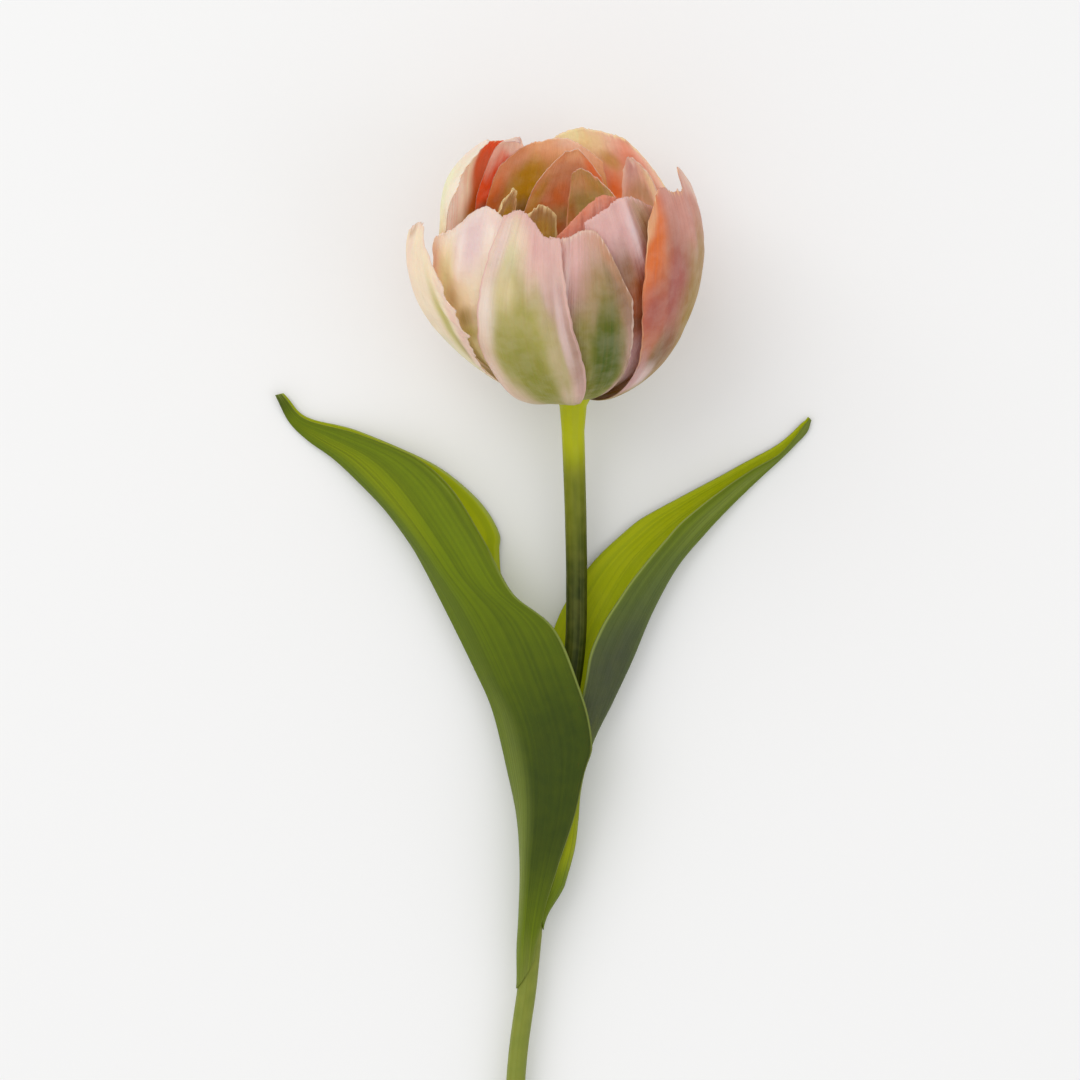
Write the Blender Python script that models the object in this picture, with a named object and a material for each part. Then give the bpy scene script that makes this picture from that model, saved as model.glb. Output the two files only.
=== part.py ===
"""A fringed double tulip, cut and lying on a surface: a stem, two clasping leaves, and a cup of petals.

+Z is up from the surface, +Y runs from the cut end of the stem towards the bloom, and +X is to the right
of someone who looks down on it. The origin is on the surface, below the middle of the whole flower.
Lengths in the tables are millimetres and angles are degrees. The tables give places from the foot of the
bloom, which lies over FOOT_X and FOOT_Y.
"""

import math
from dataclasses import dataclass

import bmesh
import bpy
import numpy as np
from mathutils import Vector

MM = 0.001

# Driving dimensions, in millimetres and degrees
FOOT_X = 7.3
FOOT_Y = 97.5
FOOT_HEIGHT = 18.2
BLOOM_TILT = 25.0
PETAL_THICKNESS = 0.7
LEAF_THICKNESS = 0.8
FRINGE = 0.5
SEAT_GAP = 0.35
STEM_RADIUS_TOP = 3.1
STEM_RADIUS_CUT = 2.6
STEM_SIDES = 12

# Seen from the side, a petal leaves its foot level and turns inward by its tip
FOOT_RADIUS = 5.8
HEADING_TURN = 130.0
HEADING_POWER = 0.65
HEADING_LENGTH = 94.0

# The cup is wider on the side of the petal that leans away
LEFT_SWELL = 0.13
LEFT_SWELL_REACH = 30.0

# The receptacle, as heights above the lowest petals' feet and the radii there
RECEPTACLE = (
    (-9.0, 3.3),
    (-4.0, 3.7),
    (-1.6, 4.8),
    (-0.4, 5.4),
    (1.2, 5.4),
    (2.6, 5.0),
    (3.9, 4.5),
    (5.2, 3.9),
    (7.8, 3.1),
    (10.4, 2.6),
    (12.4, 2.3),
    (14.4, 2.0),
    (15.4, 1.2),
)


@dataclass
class Petal:
    """One petal, by its margins and its depth inside the outermost layer.

    Azimuth 0 faces up from the surface and 90 faces +X. left and right give the azimuth of the two margins
    at the foot, at one third, at two thirds and at the tip. edge gives the length from the foot to the top
    margin, from the left margin to the right one. A bend is an angle, inward if positive, the length where
    it starts, and the stretch that it takes. A bulge is an azimuth, a length, the half width each way, and
    how far it stands out.
    """

    name: str
    left: tuple
    right: tuple
    edge: tuple
    depth: float
    bends: tuple = ()
    bulges: tuple = ()
    columns: int = 10
    rows: int = 9


OUTER = (
    Petal(
        "petal_outer_front_left", (-44, -48, -41, -33), (6, 7, -2, -8), (74, 76, 74, 70, 70), 0.0,
        bulges=((-48, 13, 16, 9, 2.0), (-1, 48, 5, 22, 0.9)),
    ),
    Petal("petal_outer_front_right", (-16, -18, -16, -12), (26, 31, 28, 22), (70, 70, 72, 69, 52), 1.3),
    Petal(
        "petal_outer_right", (39, 36, 31, 42), (92, 100, 98, 88), (72, 78, 79, 77, 76, 75.5, 81, 75, 66), 0.0,
        bulges=((90, 25, 12, 13, -1.4),),
    ),
    Petal(
        "petal_outer_back_right", (102, 102, 100, 104), (150, 154, 152, 142), (50, 58, 62, 64, 59), 1.3,
        columns=8, rows=8,
    ),
    Petal(
        "petal_outer_back", (156, 152, 152, 160), (204, 208, 208, 200), (62, 70, 74, 70, 62), 0.0,
        columns=8,
    ),
    Petal(
        "petal_outer_back_left", (206, 202, 204, 212), (248, 250, 250, 246), (57, 60, 59, 55, 50), 1.3,
        columns=8, rows=8,
    ),
    Petal(
        "petal_outer_left", (260, 248, 246, 252), (294, 306, 316, 298), (54, 59, 65, 67, 57), 0.0,
        bends=((-14, 10, 35), (21, 40, 25)),
    ),
)

MIDDLE = (
    Petal("petal_middle_left", (-82, -90, -88, -84), (-38, -34, -32, -34), (58, 63, 68, 75, 73), 1.5),
    Petal(
        "petal_middle_right", (20, 14, 10, 4), (70, 72, 66, 50), (74, 77, 79.5, 78, 71), 2.6,
        bulges=((29, 75, 3, 14, 0.9),),
    ),
    Petal(
        "petal_middle_back_left", (-122, -134, -142, -142), (-76, -72, -75, -65), (79, 84, 89, 86, 76), 2.7,
        bends=((-10, 56, 10), (30, 66, 22)),
    ),
    Petal(
        "petal_middle_back_right", (122, 116, 118, 130), (180, 188, 190, 196), (62, 78, 81, 81.5, 77), 2.6,
    ),
    Petal(
        "petal_middle_front", (-22, -26, -24, -18), (22, 26, 24, 18), (58, 62, 64, 62, 56), 3.9,
        columns=8, rows=8,
    ),
    Petal(
        "petal_middle_folded", (196, 194, 202, 215), (228, 234, 232, 231), (76, 85, 90, 91, 86), 3.9,
        bends=((60, 79, 12),),
    ),
    Petal(
        "petal_middle_side", (66, 62, 66, 72), (112, 122, 122, 112), (66, 70, 72, 70, 64), 3.9,
        columns=8, rows=8,
    ),
)

INNER = (
    Petal("petal_inner_back", (170, 162, 160, 164), (220, 226, 228, 224), (72, 79, 81, 79.5, 73), 5.2),
    Petal(
        "petal_inner_centre", (168, 150, 148, 150), (206, 218, 222, 216), (72, 84, 84, 83, 70), 7.8,
        bends=((10, 0, 12),),
    ),
    Petal("petal_inner_front_right", (-2, -10, -12, -8), (46, 50, 46, 40), (70, 77, 81, 80, 77), 5.2),
    Petal(
        "petal_inner_right", (72, 68, 72, 80), (108, 116, 118, 112), (58, 64, 66, 64, 58), 5.2,
        columns=8, rows=8,
    ),
    Petal(
        "petal_inner_front_left", (-62, -70, -66, -58), (-22, -18, -20, -26), (52, 60, 62, 60, 52), 5.2,
        columns=8, rows=8,
    ),
    Petal(
        "petal_inner_left", (-122, -124, -122, -116), (-84, -80, -80, -86), (50, 54, 56, 54, 50), 4.0,
        columns=8, rows=8,
    ),
    Petal(
        "petal_inner_curled", (128, 128, 126, 128), (152, 156, 154, 148), (66, 76, 79, 78, 70), 5.2,
        bends=((40, 66, 25),),
    ),
    Petal(
        "petal_inner_low", (112, 106, 112, 124), (160, 178, 186, 182), (64, 72, 77, 79, 76), 10.4,
        bends=((10, 0, 12),),
    ),
    Petal(
        "petaloid_left", (-112, -118, -122, -120), (-92, -90, -93, -98), (66, 71, 73, 70, 62), 11.6,
        bends=((4, 0, 12),), columns=6, rows=8,
    ),
    Petal(
        "petaloid_back", (194, 192, 194, 198), (232, 236, 238, 236), (57, 63, 61, 65, 58), 11.6,
        bends=((10, 0, 12),), columns=6, rows=8,
    ),
    Petal(
        "petaloid_front_left", (-44, -46, -44, -40), (-20, -16, -18, -24), (48, 54, 56, 53, 48), 11.6,
        bends=((10, 0, 12),), columns=6, rows=8,
    ),
    Petal(
        "petaloid_front_right", (20, 18, 20, 26), (46, 50, 48, 42), (50, 54, 57, 56, 49), 11.6,
        bends=((12, 0, 12),), columns=6, rows=8,
    ),
    Petal(
        "petaloid_right", (72, 70, 72, 76), (96, 98, 96, 92), (50, 56, 58, 54, 50), 11.6,
        bends=((8, 0, 12),), columns=6, rows=8,
    ),
)


def smooth_share(value, low, high):
    """A share that rises smoothly from 0 at low to 1 at high."""
    t = np.clip((value - low) / (high - low), 0.0, 1.0)
    return t * t * (3 - 2 * t)


def spline(points, count):
    """Points along a smooth curve through the given ones, evenly spaced in their numbering."""
    known = np.array(points, float)
    padded = np.vstack([2 * known[0] - known[1], known, 2 * known[-1] - known[-2]])
    found = []
    for place in np.linspace(0, len(known) - 1, count):
        i = min(int(place), len(known) - 2)
        t = place - i
        a, b, c, d = padded[i : i + 4]
        square = 2 * a - 5 * b + 4 * c - d
        cube = 3 * b - a - 3 * c + d
        found.append(b + ((c - a) * t + square * t**2 + cube * t**3) / 2)
    return np.array(found)


def in_bloom(radius, azimuth, height):
    """Places round the bloom's own axis, in millimetres from below the bloom's foot."""
    tilt = math.radians(BLOOM_TILT)
    axis = np.array([0, math.cos(tilt), math.sin(tilt)])
    front = np.array([0, -math.sin(tilt), math.cos(tilt)])
    right = np.array([1.0, 0, 0])
    turn = np.radians(np.asarray(azimuth, float))
    side = np.asarray(radius) * np.sin(turn)
    side = side * (1 + LEFT_SWELL * smooth_share(-side, 0, LEFT_SWELL_REACH))
    rise = np.asarray(radius) * np.cos(turn)
    height = np.asarray(height)
    foot = np.array([0, 0, FOOT_HEIGHT])
    return foot + axis * height[..., None] + side[..., None] * right + rise[..., None] * front


def receptacle_radius(height):
    """The receptacle's radius at a height above the lowest petals' feet."""
    heights, radii = np.array(RECEPTACLE).T
    return float(np.interp(height, heights, radii))


def petal_side(petal, lengths):
    """Radius, height and heading of a petal at lengths along it from its foot."""
    fine = np.linspace(-FOOT_RADIUS, 100, 400)
    grown = np.maximum(fine, 0)
    heading = HEADING_TURN * (grown / HEADING_LENGTH) ** HEADING_POWER
    for angle, start, stretch in petal.bends:
        heading += angle * smooth_share(grown, start, start + stretch)
    turn = np.radians(heading)
    step = fine[1] - fine[0]
    radius = np.concatenate([[0], np.cumsum((np.cos(turn)[1:] + np.cos(turn)[:-1]) / 2) * step])
    height = np.concatenate([[0], np.cumsum((np.sin(turn)[1:] + np.sin(turn)[:-1]) / 2) * step])
    radius = radius - petal.depth * np.sin(turn)
    height = height + petal.depth * np.cos(turn)
    return tuple(np.interp(lengths, fine, each) for each in (radius, height, heading))


def petal_grid(petal):
    """The middle surface of a petal: rows from foot to tip, and points across each from left to right."""
    across = np.linspace(0, 1, petal.columns + 1)
    along = np.linspace(0, 1, petal.rows + 1) ** 0.9
    fine = np.linspace(0, 1, 101)
    top = np.interp(across, fine, spline([(x,) for x in petal.edge], 101)[:, 0])
    top[1:-1] += FRINGE * np.where(np.arange(1, petal.columns) % 2, 1, -1)
    foot = receptacle_radius(petal.depth) + SEAT_GAP - FOOT_RADIUS
    length = foot + np.outer(along, top - foot)
    radius, height, heading = petal_side(petal, length)
    share = np.clip(length / max(petal.edge), 0, 1)
    left, right = (
        np.interp(share, fine, spline([(x,) for x in margin], 101)[:, 0])
        for margin in (petal.left, petal.right)
    )
    azimuth = left + across * (right - left)
    bump = np.zeros_like(length)
    for turn_at, length_at, turn_width, length_width, rise in petal.bulges:
        near = ((azimuth - turn_at) / turn_width) ** 2 + ((length - length_at) / length_width) ** 2
        bump += rise * np.exp(-near)
    turn = np.radians(heading)
    return in_bloom(radius + bump * np.sin(turn), azimuth, height - bump * np.cos(turn))


COLOURS = {
    "stem": ((0.25, 0.28, 0.03), 0.45),
    "leaf": ((0.10, 0.16, 0.02), 0.45),
    "petal_outer": ((0.60, 0.42, 0.36), 0.6),
    "petal_middle": ((0.68, 0.50, 0.40), 0.6),
    "petal_inner": ((0.55, 0.22, 0.10), 0.6),
    "pistil": ((0.45, 0.42, 0.10), 0.5),
    "stamen": ((0.50, 0.38, 0.10), 0.6),
}


def material_of(name):
    """The named material, made once."""
    made = bpy.data.materials.get(name)
    if made is None:
        colour, roughness = COLOURS[name]
        made = bpy.data.materials.new(name)
        made.use_nodes = True
        shader = made.node_tree.nodes["Principled BSDF"]
        shader.inputs["Base Color"].default_value = (*colour, 1)
        shader.inputs["Roughness"].default_value = roughness
        shader.inputs["Metallic"].default_value = 0.0
    return made


def placed(name, data, flower):
    """An object of this name on this data, carried by the flower."""
    obj = bpy.data.objects.new(name, data)
    obj.parent = flower
    bpy.context.scene.collection.objects.link(obj)
    return obj


def blade(name, grid, thickness, material, flower):
    """A thin solid on a grid of points, split into the same triangles on both faces."""
    grid[..., 2] = np.maximum(grid[..., 2], thickness / 2)
    body = bmesh.new()
    rows = [[body.verts.new(Vector(p) * MM) for p in row] for row in grid]
    for low, high in zip(rows, rows[1:]):
        for i in range(len(low) - 1):
            body.faces.new((low[i], low[i + 1], high[i + 1]))
            body.faces.new((low[i], high[i + 1], high[i]))
    mesh = bpy.data.meshes.new(name)
    body.to_mesh(mesh)
    body.free()
    mesh.shade_smooth()
    mesh.materials.append(material_of(material))
    obj = placed(name, mesh, flower)
    wall = obj.modifiers.new("thickness", "SOLIDIFY")
    wall.thickness = thickness * MM
    wall.offset = 0
    return obj


def tube(name, points, radii, sides, material, flower):
    """A closed round body of changing radius along a line of points."""
    curve = bpy.data.curves.new(name, "CURVE")
    curve.dimensions = "3D"
    curve.bevel_depth = MM
    curve.bevel_resolution = sides // 2 - 2
    curve.use_fill_caps = True
    path = curve.splines.new("POLY")
    path.points.add(len(points) - 1)
    for spot, point, radius in zip(path.points, points, radii):
        spot.co = (*(np.array(point) * MM), 1)
        spot.radius = radius
    curve.materials.append(material_of(material))
    return placed(name, curve, flower)


# The stem's centre line, from its cut end to just below the bloom
STEM_PATH = (
    (-20.2, -266.0, 2.6),
    (-17.6, -224.0, 3.8),
    (-15.3, -184.0, 5.0),
    (-12.5, -162.0, 5.7),
    (-11.2, -149.0, 6.1),
    (-10.0, -136.0, 6.5),
    (-7.9, -122.7, 6.8),
    (-5.1, -106.7, 7.1),
    (-2.0, -88.0, 7.4),
    (0.6, -69.3, 7.6),
    (1.0, -52.0, 7.8),
    (0.8, -36.0, 8.4),
    (0.4, -22.0, 10.1),
)


def stem(flower):
    """The stem with the receptacle that its petals are seated on."""
    below = np.array(STEM_PATH)
    neck = in_bloom(np.zeros(1), 0, np.array([NECK_HEIGHT]))
    line = spline(np.vstack([below, neck]), STEM_POINTS)
    share = np.linspace(0, 1, len(line))
    radii = STEM_RADIUS_CUT + (STEM_RADIUS_TOP - STEM_RADIUS_CUT) * share**2
    heights, widths = np.array(RECEPTACLE).T
    dome = in_bloom(np.zeros(len(heights)), 0, heights)
    tube("stem", np.vstack([line, dome]), np.concatenate([radii, widths]), STEM_SIDES, "stem", flower)


def leaf_grid(keel, near, far, round_rows, columns, rows):
    """The middle surface of a trough-shaped leaf through its keel and its two margins."""
    keel, near, far = (spline(line, rows + 1) for line in (keel, near, far))
    grid = []
    for i, (k, n, f) in enumerate(zip(keel, near, far)):
        half = (n - f) / 2
        sag = (n + f) / 2 - k
        angle = max(2 * math.atan2(np.linalg.norm(sag), np.linalg.norm(half)), 0.01)
        roundness = 1 - smooth_share(i / rows, *round_rows)
        row = []
        for u in np.linspace(-1, 1, columns + 1):
            arc = half * math.sin(u * angle) / math.sin(angle)
            arc = arc + sag * (1 - math.cos(u * angle)) / (1 - math.cos(angle))
            fold = half * u + sag * u * u
            row.append(k + roundness * arc + (1 - roundness) * fold)
        grid.append(row)
    return np.array(grid)


# How finely the leaves are divided, and the shares of their length over which a round section turns to a fold
LEAF_COLUMNS = 8
LEFT_ROWS = 28
RIGHT_ROWS = 24
LEFT_ROUND = (0.1, 0.45)
RIGHT_ROUND = (0.05, 0.35)

# Each leaf's keel and its two margins, the near one towards someone looking down, from the sheath to the tip
LEFT_KEEL = (
    (-16.1, -162.0, 5.7), (-14.9, -149.4, 6.1), (-14.3, -139.0, 6.5), (-14.0, -128.0, 6.8),
    (-14.9, -115.5, 7.0), (-17.4, -102.7, 7.0), (-21.2, -86.7, 6.8), (-26.2, -75.2, 6.5),
    (-33.6, -60.0, 6.0), (-40.8, -46.2, 5.5), (-45.1, -39.2, 5.0), (-51.0, -31.4, 4.2),
    (-58.3, -23.8, 3.0), (-65.2, -17.4, 1.8), (-72.0, -12.6, 1.0), (-77.2, -7.6, 0.8), (-81.0, -0.4, 1.8),
)
LEFT_NEAR = (
    (-11.0, -162.0, 8.9), (-9.6, -149.4, 9.8), (-7.4, -139.0, 10.9), (-3.9, -128.0, 11.9),
    (0.1, -115.5, 13.2), (3.3, -102.4, 14.5), (5.1, -95.5, 15.5), (2.8, -82.7, 16.5), (-4.7, -64.5, 17.0),
    (-15.6, -55.2, 17.0), (-20.9, -46.1, 16.0), (-25.7, -37.3, 14.0), (-32.9, -25.9, 11.0),
    (-42.3, -17.9, 8.0), (-59.0, -10.9, 4.0), (-73.0, -7.0, 2.0), (-79.4, -0.2, 2.6),
)
LEFT_FAR = (
    (-11.0, -162.0, 2.4), (-9.6, -149.4, 2.7), (-6.6, -139.0, 1.6), (-1.7, -128.0, 1.2),
    (0.9, -115.5, 1.1), (0.4, -102.7, 1.2), (-2.3, -93.0, 1.0), (-6.3, -80.0, 1.2), (-13.0, -64.0, 1.0),
    (-19.0, -52.0, 1.0), (-19.9, -42.7, 1.2), (-20.4, -37.3, 1.6), (-26.0, -28.8, 2.2),
    (-37.7, -19.5, 2.2), (-58.5, -10.2, 1.2), (-72.6, -6.4, 0.8), (-79.0, 0.1, 1.4),
)
RIGHT_KEEL = (
    (-6.2, -146.0, 6.2), (-2.6, -134.0, 6.6), (0.1, -124.0, 6.8), (1.1, -116.0, 6.8), (1.9, -107.0, 6.6),
    (4.9, -94.7, 6.0), (10.3, -83.5, 5.3), (15.3, -72.8, 4.6), (20.9, -59.2, 3.8), (27.4, -47.3, 2.8),
    (35.3, -38.0, 1.8), (43.1, -30.0, 1.0), (50.2, -23.3, 0.6), (58.4, -15.8, 0.5), (63.6, -10.6, 0.8),
    (65.0, -7.2, 1.2),
)
RIGHT_NEAR = (
    (-10.0, -146.0, 9.4), (-8.7, -134.0, 10.0), (-7.6, -124.0, 10.4), (-6.4, -116.0, 10.8),
    (-4.4, -107.0, 11.3), (-0.4, -96.0, 12.0), (3.1, -80.0, 13.0), (5.5, -68.0, 13.5), (12.4, -56.0, 13.5),
    (20.4, -45.3, 12.0), (28.7, -36.0, 9.5), (37.7, -28.5, 7.0), (47.1, -21.9, 4.5), (56.4, -16.5, 2.6),
    (63.0, -8.9, 1.6), (64.8, -6.8, 1.4),
)
RIGHT_FAR = (
    (-10.0, -146.0, 3.1), (-9.0, -134.0, 3.3), (-8.4, -124.0, 3.4), (-7.9, -116.0, 3.4),
    (-7.5, -107.0, 3.4), (-7.3, -94.7, 3.4), (-6.5, -77.3, 3.0), (-5.5, -64.8, 2.6), (0.4, -53.3, 2.4),
    (7.1, -44.3, 2.2), (17.4, -35.2, 2.0), (28.0, -29.0, 1.8), (41.2, -22.0, 1.4), (55.2, -14.4, 1.0),
    (62.2, -8.4, 0.9), (64.4, -6.4, 1.0),
)


STAMENS = 6
STAMEN_AZIMUTH = 15.0
STAMEN_SIDES = 6
PISTIL_SIDES = 10
STEM_POINTS = 44
NECK_HEIGHT = -11.5

# Radius from the bloom's axis, height, and thickness of a stamen from its foot to the tip of its anther
STAMEN = (
    (2.8, 13.6, 0.45),
    (4.0, 18.0, 0.45),
    (4.8, 23.0, 0.4),
    (5.1, 24.5, 0.9),
    (5.6, 29.0, 1.05),
    (5.9, 33.0, 0.5),
)

# Height and radius of the pistil from its foot to the top of its stigma
PISTIL = (
    (15.8, 1.3),
    (18.0, 2.1),
    (24.0, 2.3),
    (30.0, 1.9),
    (33.0, 1.7),
    (34.2, 2.6),
    (36.0, 2.7),
    (37.0, 1.2),
)


def heart(flower):
    """The pistil on the bloom's axis, and the stamens round it."""
    heights, widths = np.array(PISTIL).T
    tube("pistil", in_bloom(np.zeros(len(heights)), 0, heights), widths, PISTIL_SIDES, "pistil", flower)
    out, up, thickness = np.array(STAMEN).T
    for i in range(STAMENS):
        azimuth = STAMEN_AZIMUTH + 360 * i / STAMENS
        line = in_bloom(out, np.full(len(out), azimuth), up)
        tube(f"stamen_{i + 1}", line, thickness, STAMEN_SIDES, "stamen", flower)


def clear_scene():
    """Removes what the scene starts with."""
    for obj in list(bpy.data.objects):
        bpy.data.objects.remove(obj)


def main():
    """Builds the flower and centres it over the origin."""
    clear_scene()
    flower = placed("flower", None, None)
    flower.location = (FOOT_X * MM, FOOT_Y * MM, 0)
    stem(flower)
    left = leaf_grid(LEFT_KEEL, LEFT_NEAR, LEFT_FAR, LEFT_ROUND, LEAF_COLUMNS, LEFT_ROWS)
    right = leaf_grid(RIGHT_KEEL, RIGHT_NEAR, RIGHT_FAR, RIGHT_ROUND, LEAF_COLUMNS, RIGHT_ROWS)
    blade("leaf_left", left, LEAF_THICKNESS, "leaf", flower)
    blade("leaf_right", right, LEAF_THICKNESS, "leaf", flower)
    for material, layer in (("petal_outer", OUTER), ("petal_middle", MIDDLE), ("petal_inner", INNER)):
        for petal in layer:
            blade(petal.name, petal_grid(petal), PETAL_THICKNESS, material, flower)
    heart(flower)


main()
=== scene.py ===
"""A cut fringed double tulip lying on a pale floor, with fine petals, leaves, stem and heart.

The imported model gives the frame. Each piece here keeps the form of the node that it replaces, worked out from
the same sizes, and adds margins, folds, fringe, veins and colours. Tables are in millimetres and degrees, and
their places are taken from the foot of the bloom. Meshes are in metres.
"""

import logging
import math
from dataclasses import dataclass, field, replace
from enum import Enum, IntEnum
from typing import Union

import bpy
import numpy as np
from mathutils import Matrix, Vector


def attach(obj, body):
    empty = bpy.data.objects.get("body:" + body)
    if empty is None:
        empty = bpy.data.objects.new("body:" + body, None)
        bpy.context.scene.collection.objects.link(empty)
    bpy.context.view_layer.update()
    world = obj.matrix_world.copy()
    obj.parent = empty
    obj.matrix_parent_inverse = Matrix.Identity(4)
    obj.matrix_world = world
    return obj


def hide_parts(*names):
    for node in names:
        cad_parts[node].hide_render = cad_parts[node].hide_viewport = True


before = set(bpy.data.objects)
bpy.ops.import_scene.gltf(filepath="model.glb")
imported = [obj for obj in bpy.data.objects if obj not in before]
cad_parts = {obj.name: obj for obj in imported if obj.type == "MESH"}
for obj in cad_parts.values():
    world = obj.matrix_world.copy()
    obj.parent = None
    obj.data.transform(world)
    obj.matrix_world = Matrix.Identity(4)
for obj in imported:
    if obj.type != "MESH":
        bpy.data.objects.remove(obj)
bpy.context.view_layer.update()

LOG = logging.getLogger("tulip")
MM = 0.001

# The foot of the bloom over the floor, in millimetres, and the point of the floor under it
FOOT = (7.3, 97.5, 18.2)
FOOT_ON_FLOOR = np.array([FOOT[0], FOOT[1], 0.0])

# A length too small to count, in millimetres or metres
TINY = 1e-6

Piece = bpy.types.Object
Socket = bpy.types.NodeSocket
Points = np.ndarray
Place = tuple[float, float, float]
Span = tuple[float, float]


class Pigment(Enum):
    """Colours of the flower, as display values from 0 to 255. Some stand for light: the darkest brown, the
    darker tan, the blue-grey and the darkest stem green are painted shade and shadow, and the pale lilac is a
    painted highlight.
    """

    IVORY = (246, 228, 216)
    CREAM = (240, 220, 190)
    BUTTER = (230, 213, 160)
    BLUSH = (234, 202, 184)
    PINK = (226, 178, 172)
    # A pale lilac-white, laid on as painted highlights on ridges, lobes and lit margins
    LILAC = (226, 198, 196)
    MAUVE = (196, 152, 150)
    ROSE = (206, 144, 130)
    PLUM = (168, 92, 82)
    SALMON = (208, 146, 104)
    APRICOT = (236, 184, 138)
    CORAL = (214, 126, 96)
    ORANGE = (222, 112, 46)
    FLAME_RED = (224, 84, 36)
    RUST = (168, 88, 34)
    TAN = (170, 136, 90)
    # A darker tan, painted as shade where petals turn away from the light or meet
    UMBER = (134, 98, 64)
    GOLD = (180, 138, 24)
    OLIVE = (150, 126, 46)
    SHADE = (84, 58, 14)
    CELERY = (228, 228, 184)
    LIME = (182, 176, 80)
    SPRING = (170, 162, 84)
    MOSS = (138, 138, 44)
    GRASS = (72, 92, 4)
    LEAF_DEEP = (44, 58, 20)
    LEAF_MID = (104, 122, 14)
    # A bluish green, partly the leaves' waxy bloom and partly a painted sheen
    LEAF_BLUE = (92, 106, 52)
    SHADE_BLUE = (74, 80, 58)
    # A pale green for the leaves' margins, also laid on as a painted highlight
    LEAF_PALE = (136, 148, 76)
    LEAF_INNER = (148, 156, 6)
    STEM_TOP = (174, 178, 10)
    STEM_MID = (92, 98, 18)
    # The painted shadow that the leaves cast on the stem
    STEM_DARK = (34, 44, 4)
    STEM_LOW = (126, 136, 56)
    PITH = (206, 210, 150)
    POLLEN = (150, 112, 34)

    def linear(self) -> tuple[float, float, float, float]:
        """The colour as a shader takes it.

        Returns:
            Its linear red, green and blue, and a full alpha.
        """
        share = [value / 255 for value in self.value]
        # The standard curve of displays is straight near black and a power above it
        low = [v / 12.92 if v <= 0.04045 else ((v + 0.055) / 1.055) ** 2.4 for v in share]
        return (*low, 1.0)


# What an input of a node can be given
Value = Union[Socket, Pigment, float]


class Tone(IntEnum):
    """What a ripple of a petal is for, as the step in its seed that keeps ripples from running together."""

    TOP = 0
    TOOTH_SIZE = 1
    SIDE = 2
    SIDE_FRINGE = 3
    NOTCH = 4
    SWELL = 5
    CREASE_ACROSS = 7
    CREASE_ALONG = 9


@dataclass(frozen=True)
class Touch:
    """An oval of colour on a petal, by shares of the petal's width and length.

    It is full up to a share of its reach, and soft from there to its edge.
    """

    pigment: Pigment
    across: float
    along: float
    reach_across: float
    reach_along: float
    strength: float = 1.0
    full: float = 0.1


@dataclass(frozen=True)
class BladeFinish:
    """The colours of one side of a petal or a leaf, or of a stem, from its foot to its tip.

    Folds and crinkle are heights beside the fine veins' own, and bump is the strength of all three.
    Glow is a painted glow: the colour is also given off as light, to lighten a side as if lit through.
    """

    foot: Pigment
    body: Pigment
    tip: Pigment
    touches: tuple[Touch, ...] = ()
    rim: Pigment | None = None
    rim_width: float = 0.07
    body_from: float = 0.35
    body_to: float = 0.7
    vein: Pigment = Pigment.MAUVE
    vein_strength: float = 0.12
    veins: float = 46.0
    mottle: Pigment = Pigment.IVORY
    mottle_strength: float = 0.08
    roughness: float = 0.55
    subsurface: float = 0.2
    sheen: float = 0.2
    glow: float = 0.0
    folds: float = 6.0
    crinkle: float = 9.0
    bump: float = 0.6


@dataclass(frozen=True)
class Relief:
    """Small forms of a petal, in millimetres, and shares of its width or length.

    A pleat is its place across, its half width, its rise, and the shares of the length where it starts and
    ends. Ragged is in degrees round the bloom.
    """

    lip: float = 0.18
    lip_width: float = 0.07
    wave: float = 0.12
    waves: float = 5.0
    tooth: float = 0.45
    teeth: int = 19
    notch: float = 0.5
    swell: float = 0.16
    crumple: float = 0.22
    ragged: float = 0.35
    pleats: tuple[tuple[float, float, float, float, float], ...] = ()


@dataclass(frozen=True)
class Petal:
    """One petal by its margins and its depth inside the outermost layer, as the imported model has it.

    The margins are azimuths from its foot to its top, and the edge gives its length from margin to margin. A
    bend is an angle, the length where it starts and its stretch. A bulge is its azimuth, its place along the
    petal, the reach of both, and its rise.
    """

    name: str
    left: tuple[float, ...]
    right: tuple[float, ...]
    edge: tuple[float, ...]
    depth: float
    bends: tuple[Place, ...] = ()
    bulges: tuple[tuple[float, float, float, float, float], ...] = ()
    relief: Relief = Relief()
    outside: BladeFinish | None = None
    inside: BladeFinish | None = None
    columns: int = 72
    rows: int = 84


def smooth_share(value: Points, low: float, high: float) -> Points:
    """A share that rises smoothly from 0 at low to 1 at high."""
    t = np.clip((np.asarray(value, float) - low) / (high - low), 0.0, 1.0)
    return t * t * (3 - 2 * t)


def spline(points: Points, count: int) -> Points:
    """Points along a smooth curve through the given ones.

    Args:
        points: the known points, one a row.
        count: how many points to return, evenly spaced in the known ones' numbering.

    Returns:
        The points on the curve.
    """
    known = np.array(points, float)
    padded = np.vstack([2 * known[0] - known[1], known, 2 * known[-1] - known[-2]])
    place = np.linspace(0, len(known) - 1, count)
    i = np.minimum(place.astype(int), len(known) - 2)
    t = (place - i)[:, None]
    a, b, c, d = padded[i], padded[i + 1], padded[i + 2], padded[i + 3]
    square = 2 * a - 5 * b + 4 * c - d
    cube = 3 * b - a - 3 * c + d
    return b + ((c - a) * t + square * t**2 + cube * t**3) / 2


def curve_value(knots: tuple[float, ...], share: Points) -> Points:
    """Values of a smooth curve through numbers, at shares of the way from the first of them to the last."""
    steps = 101
    return np.interp(share, np.linspace(0, 1, steps), spline([(knot,) for knot in knots], steps)[:, 0])


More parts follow.
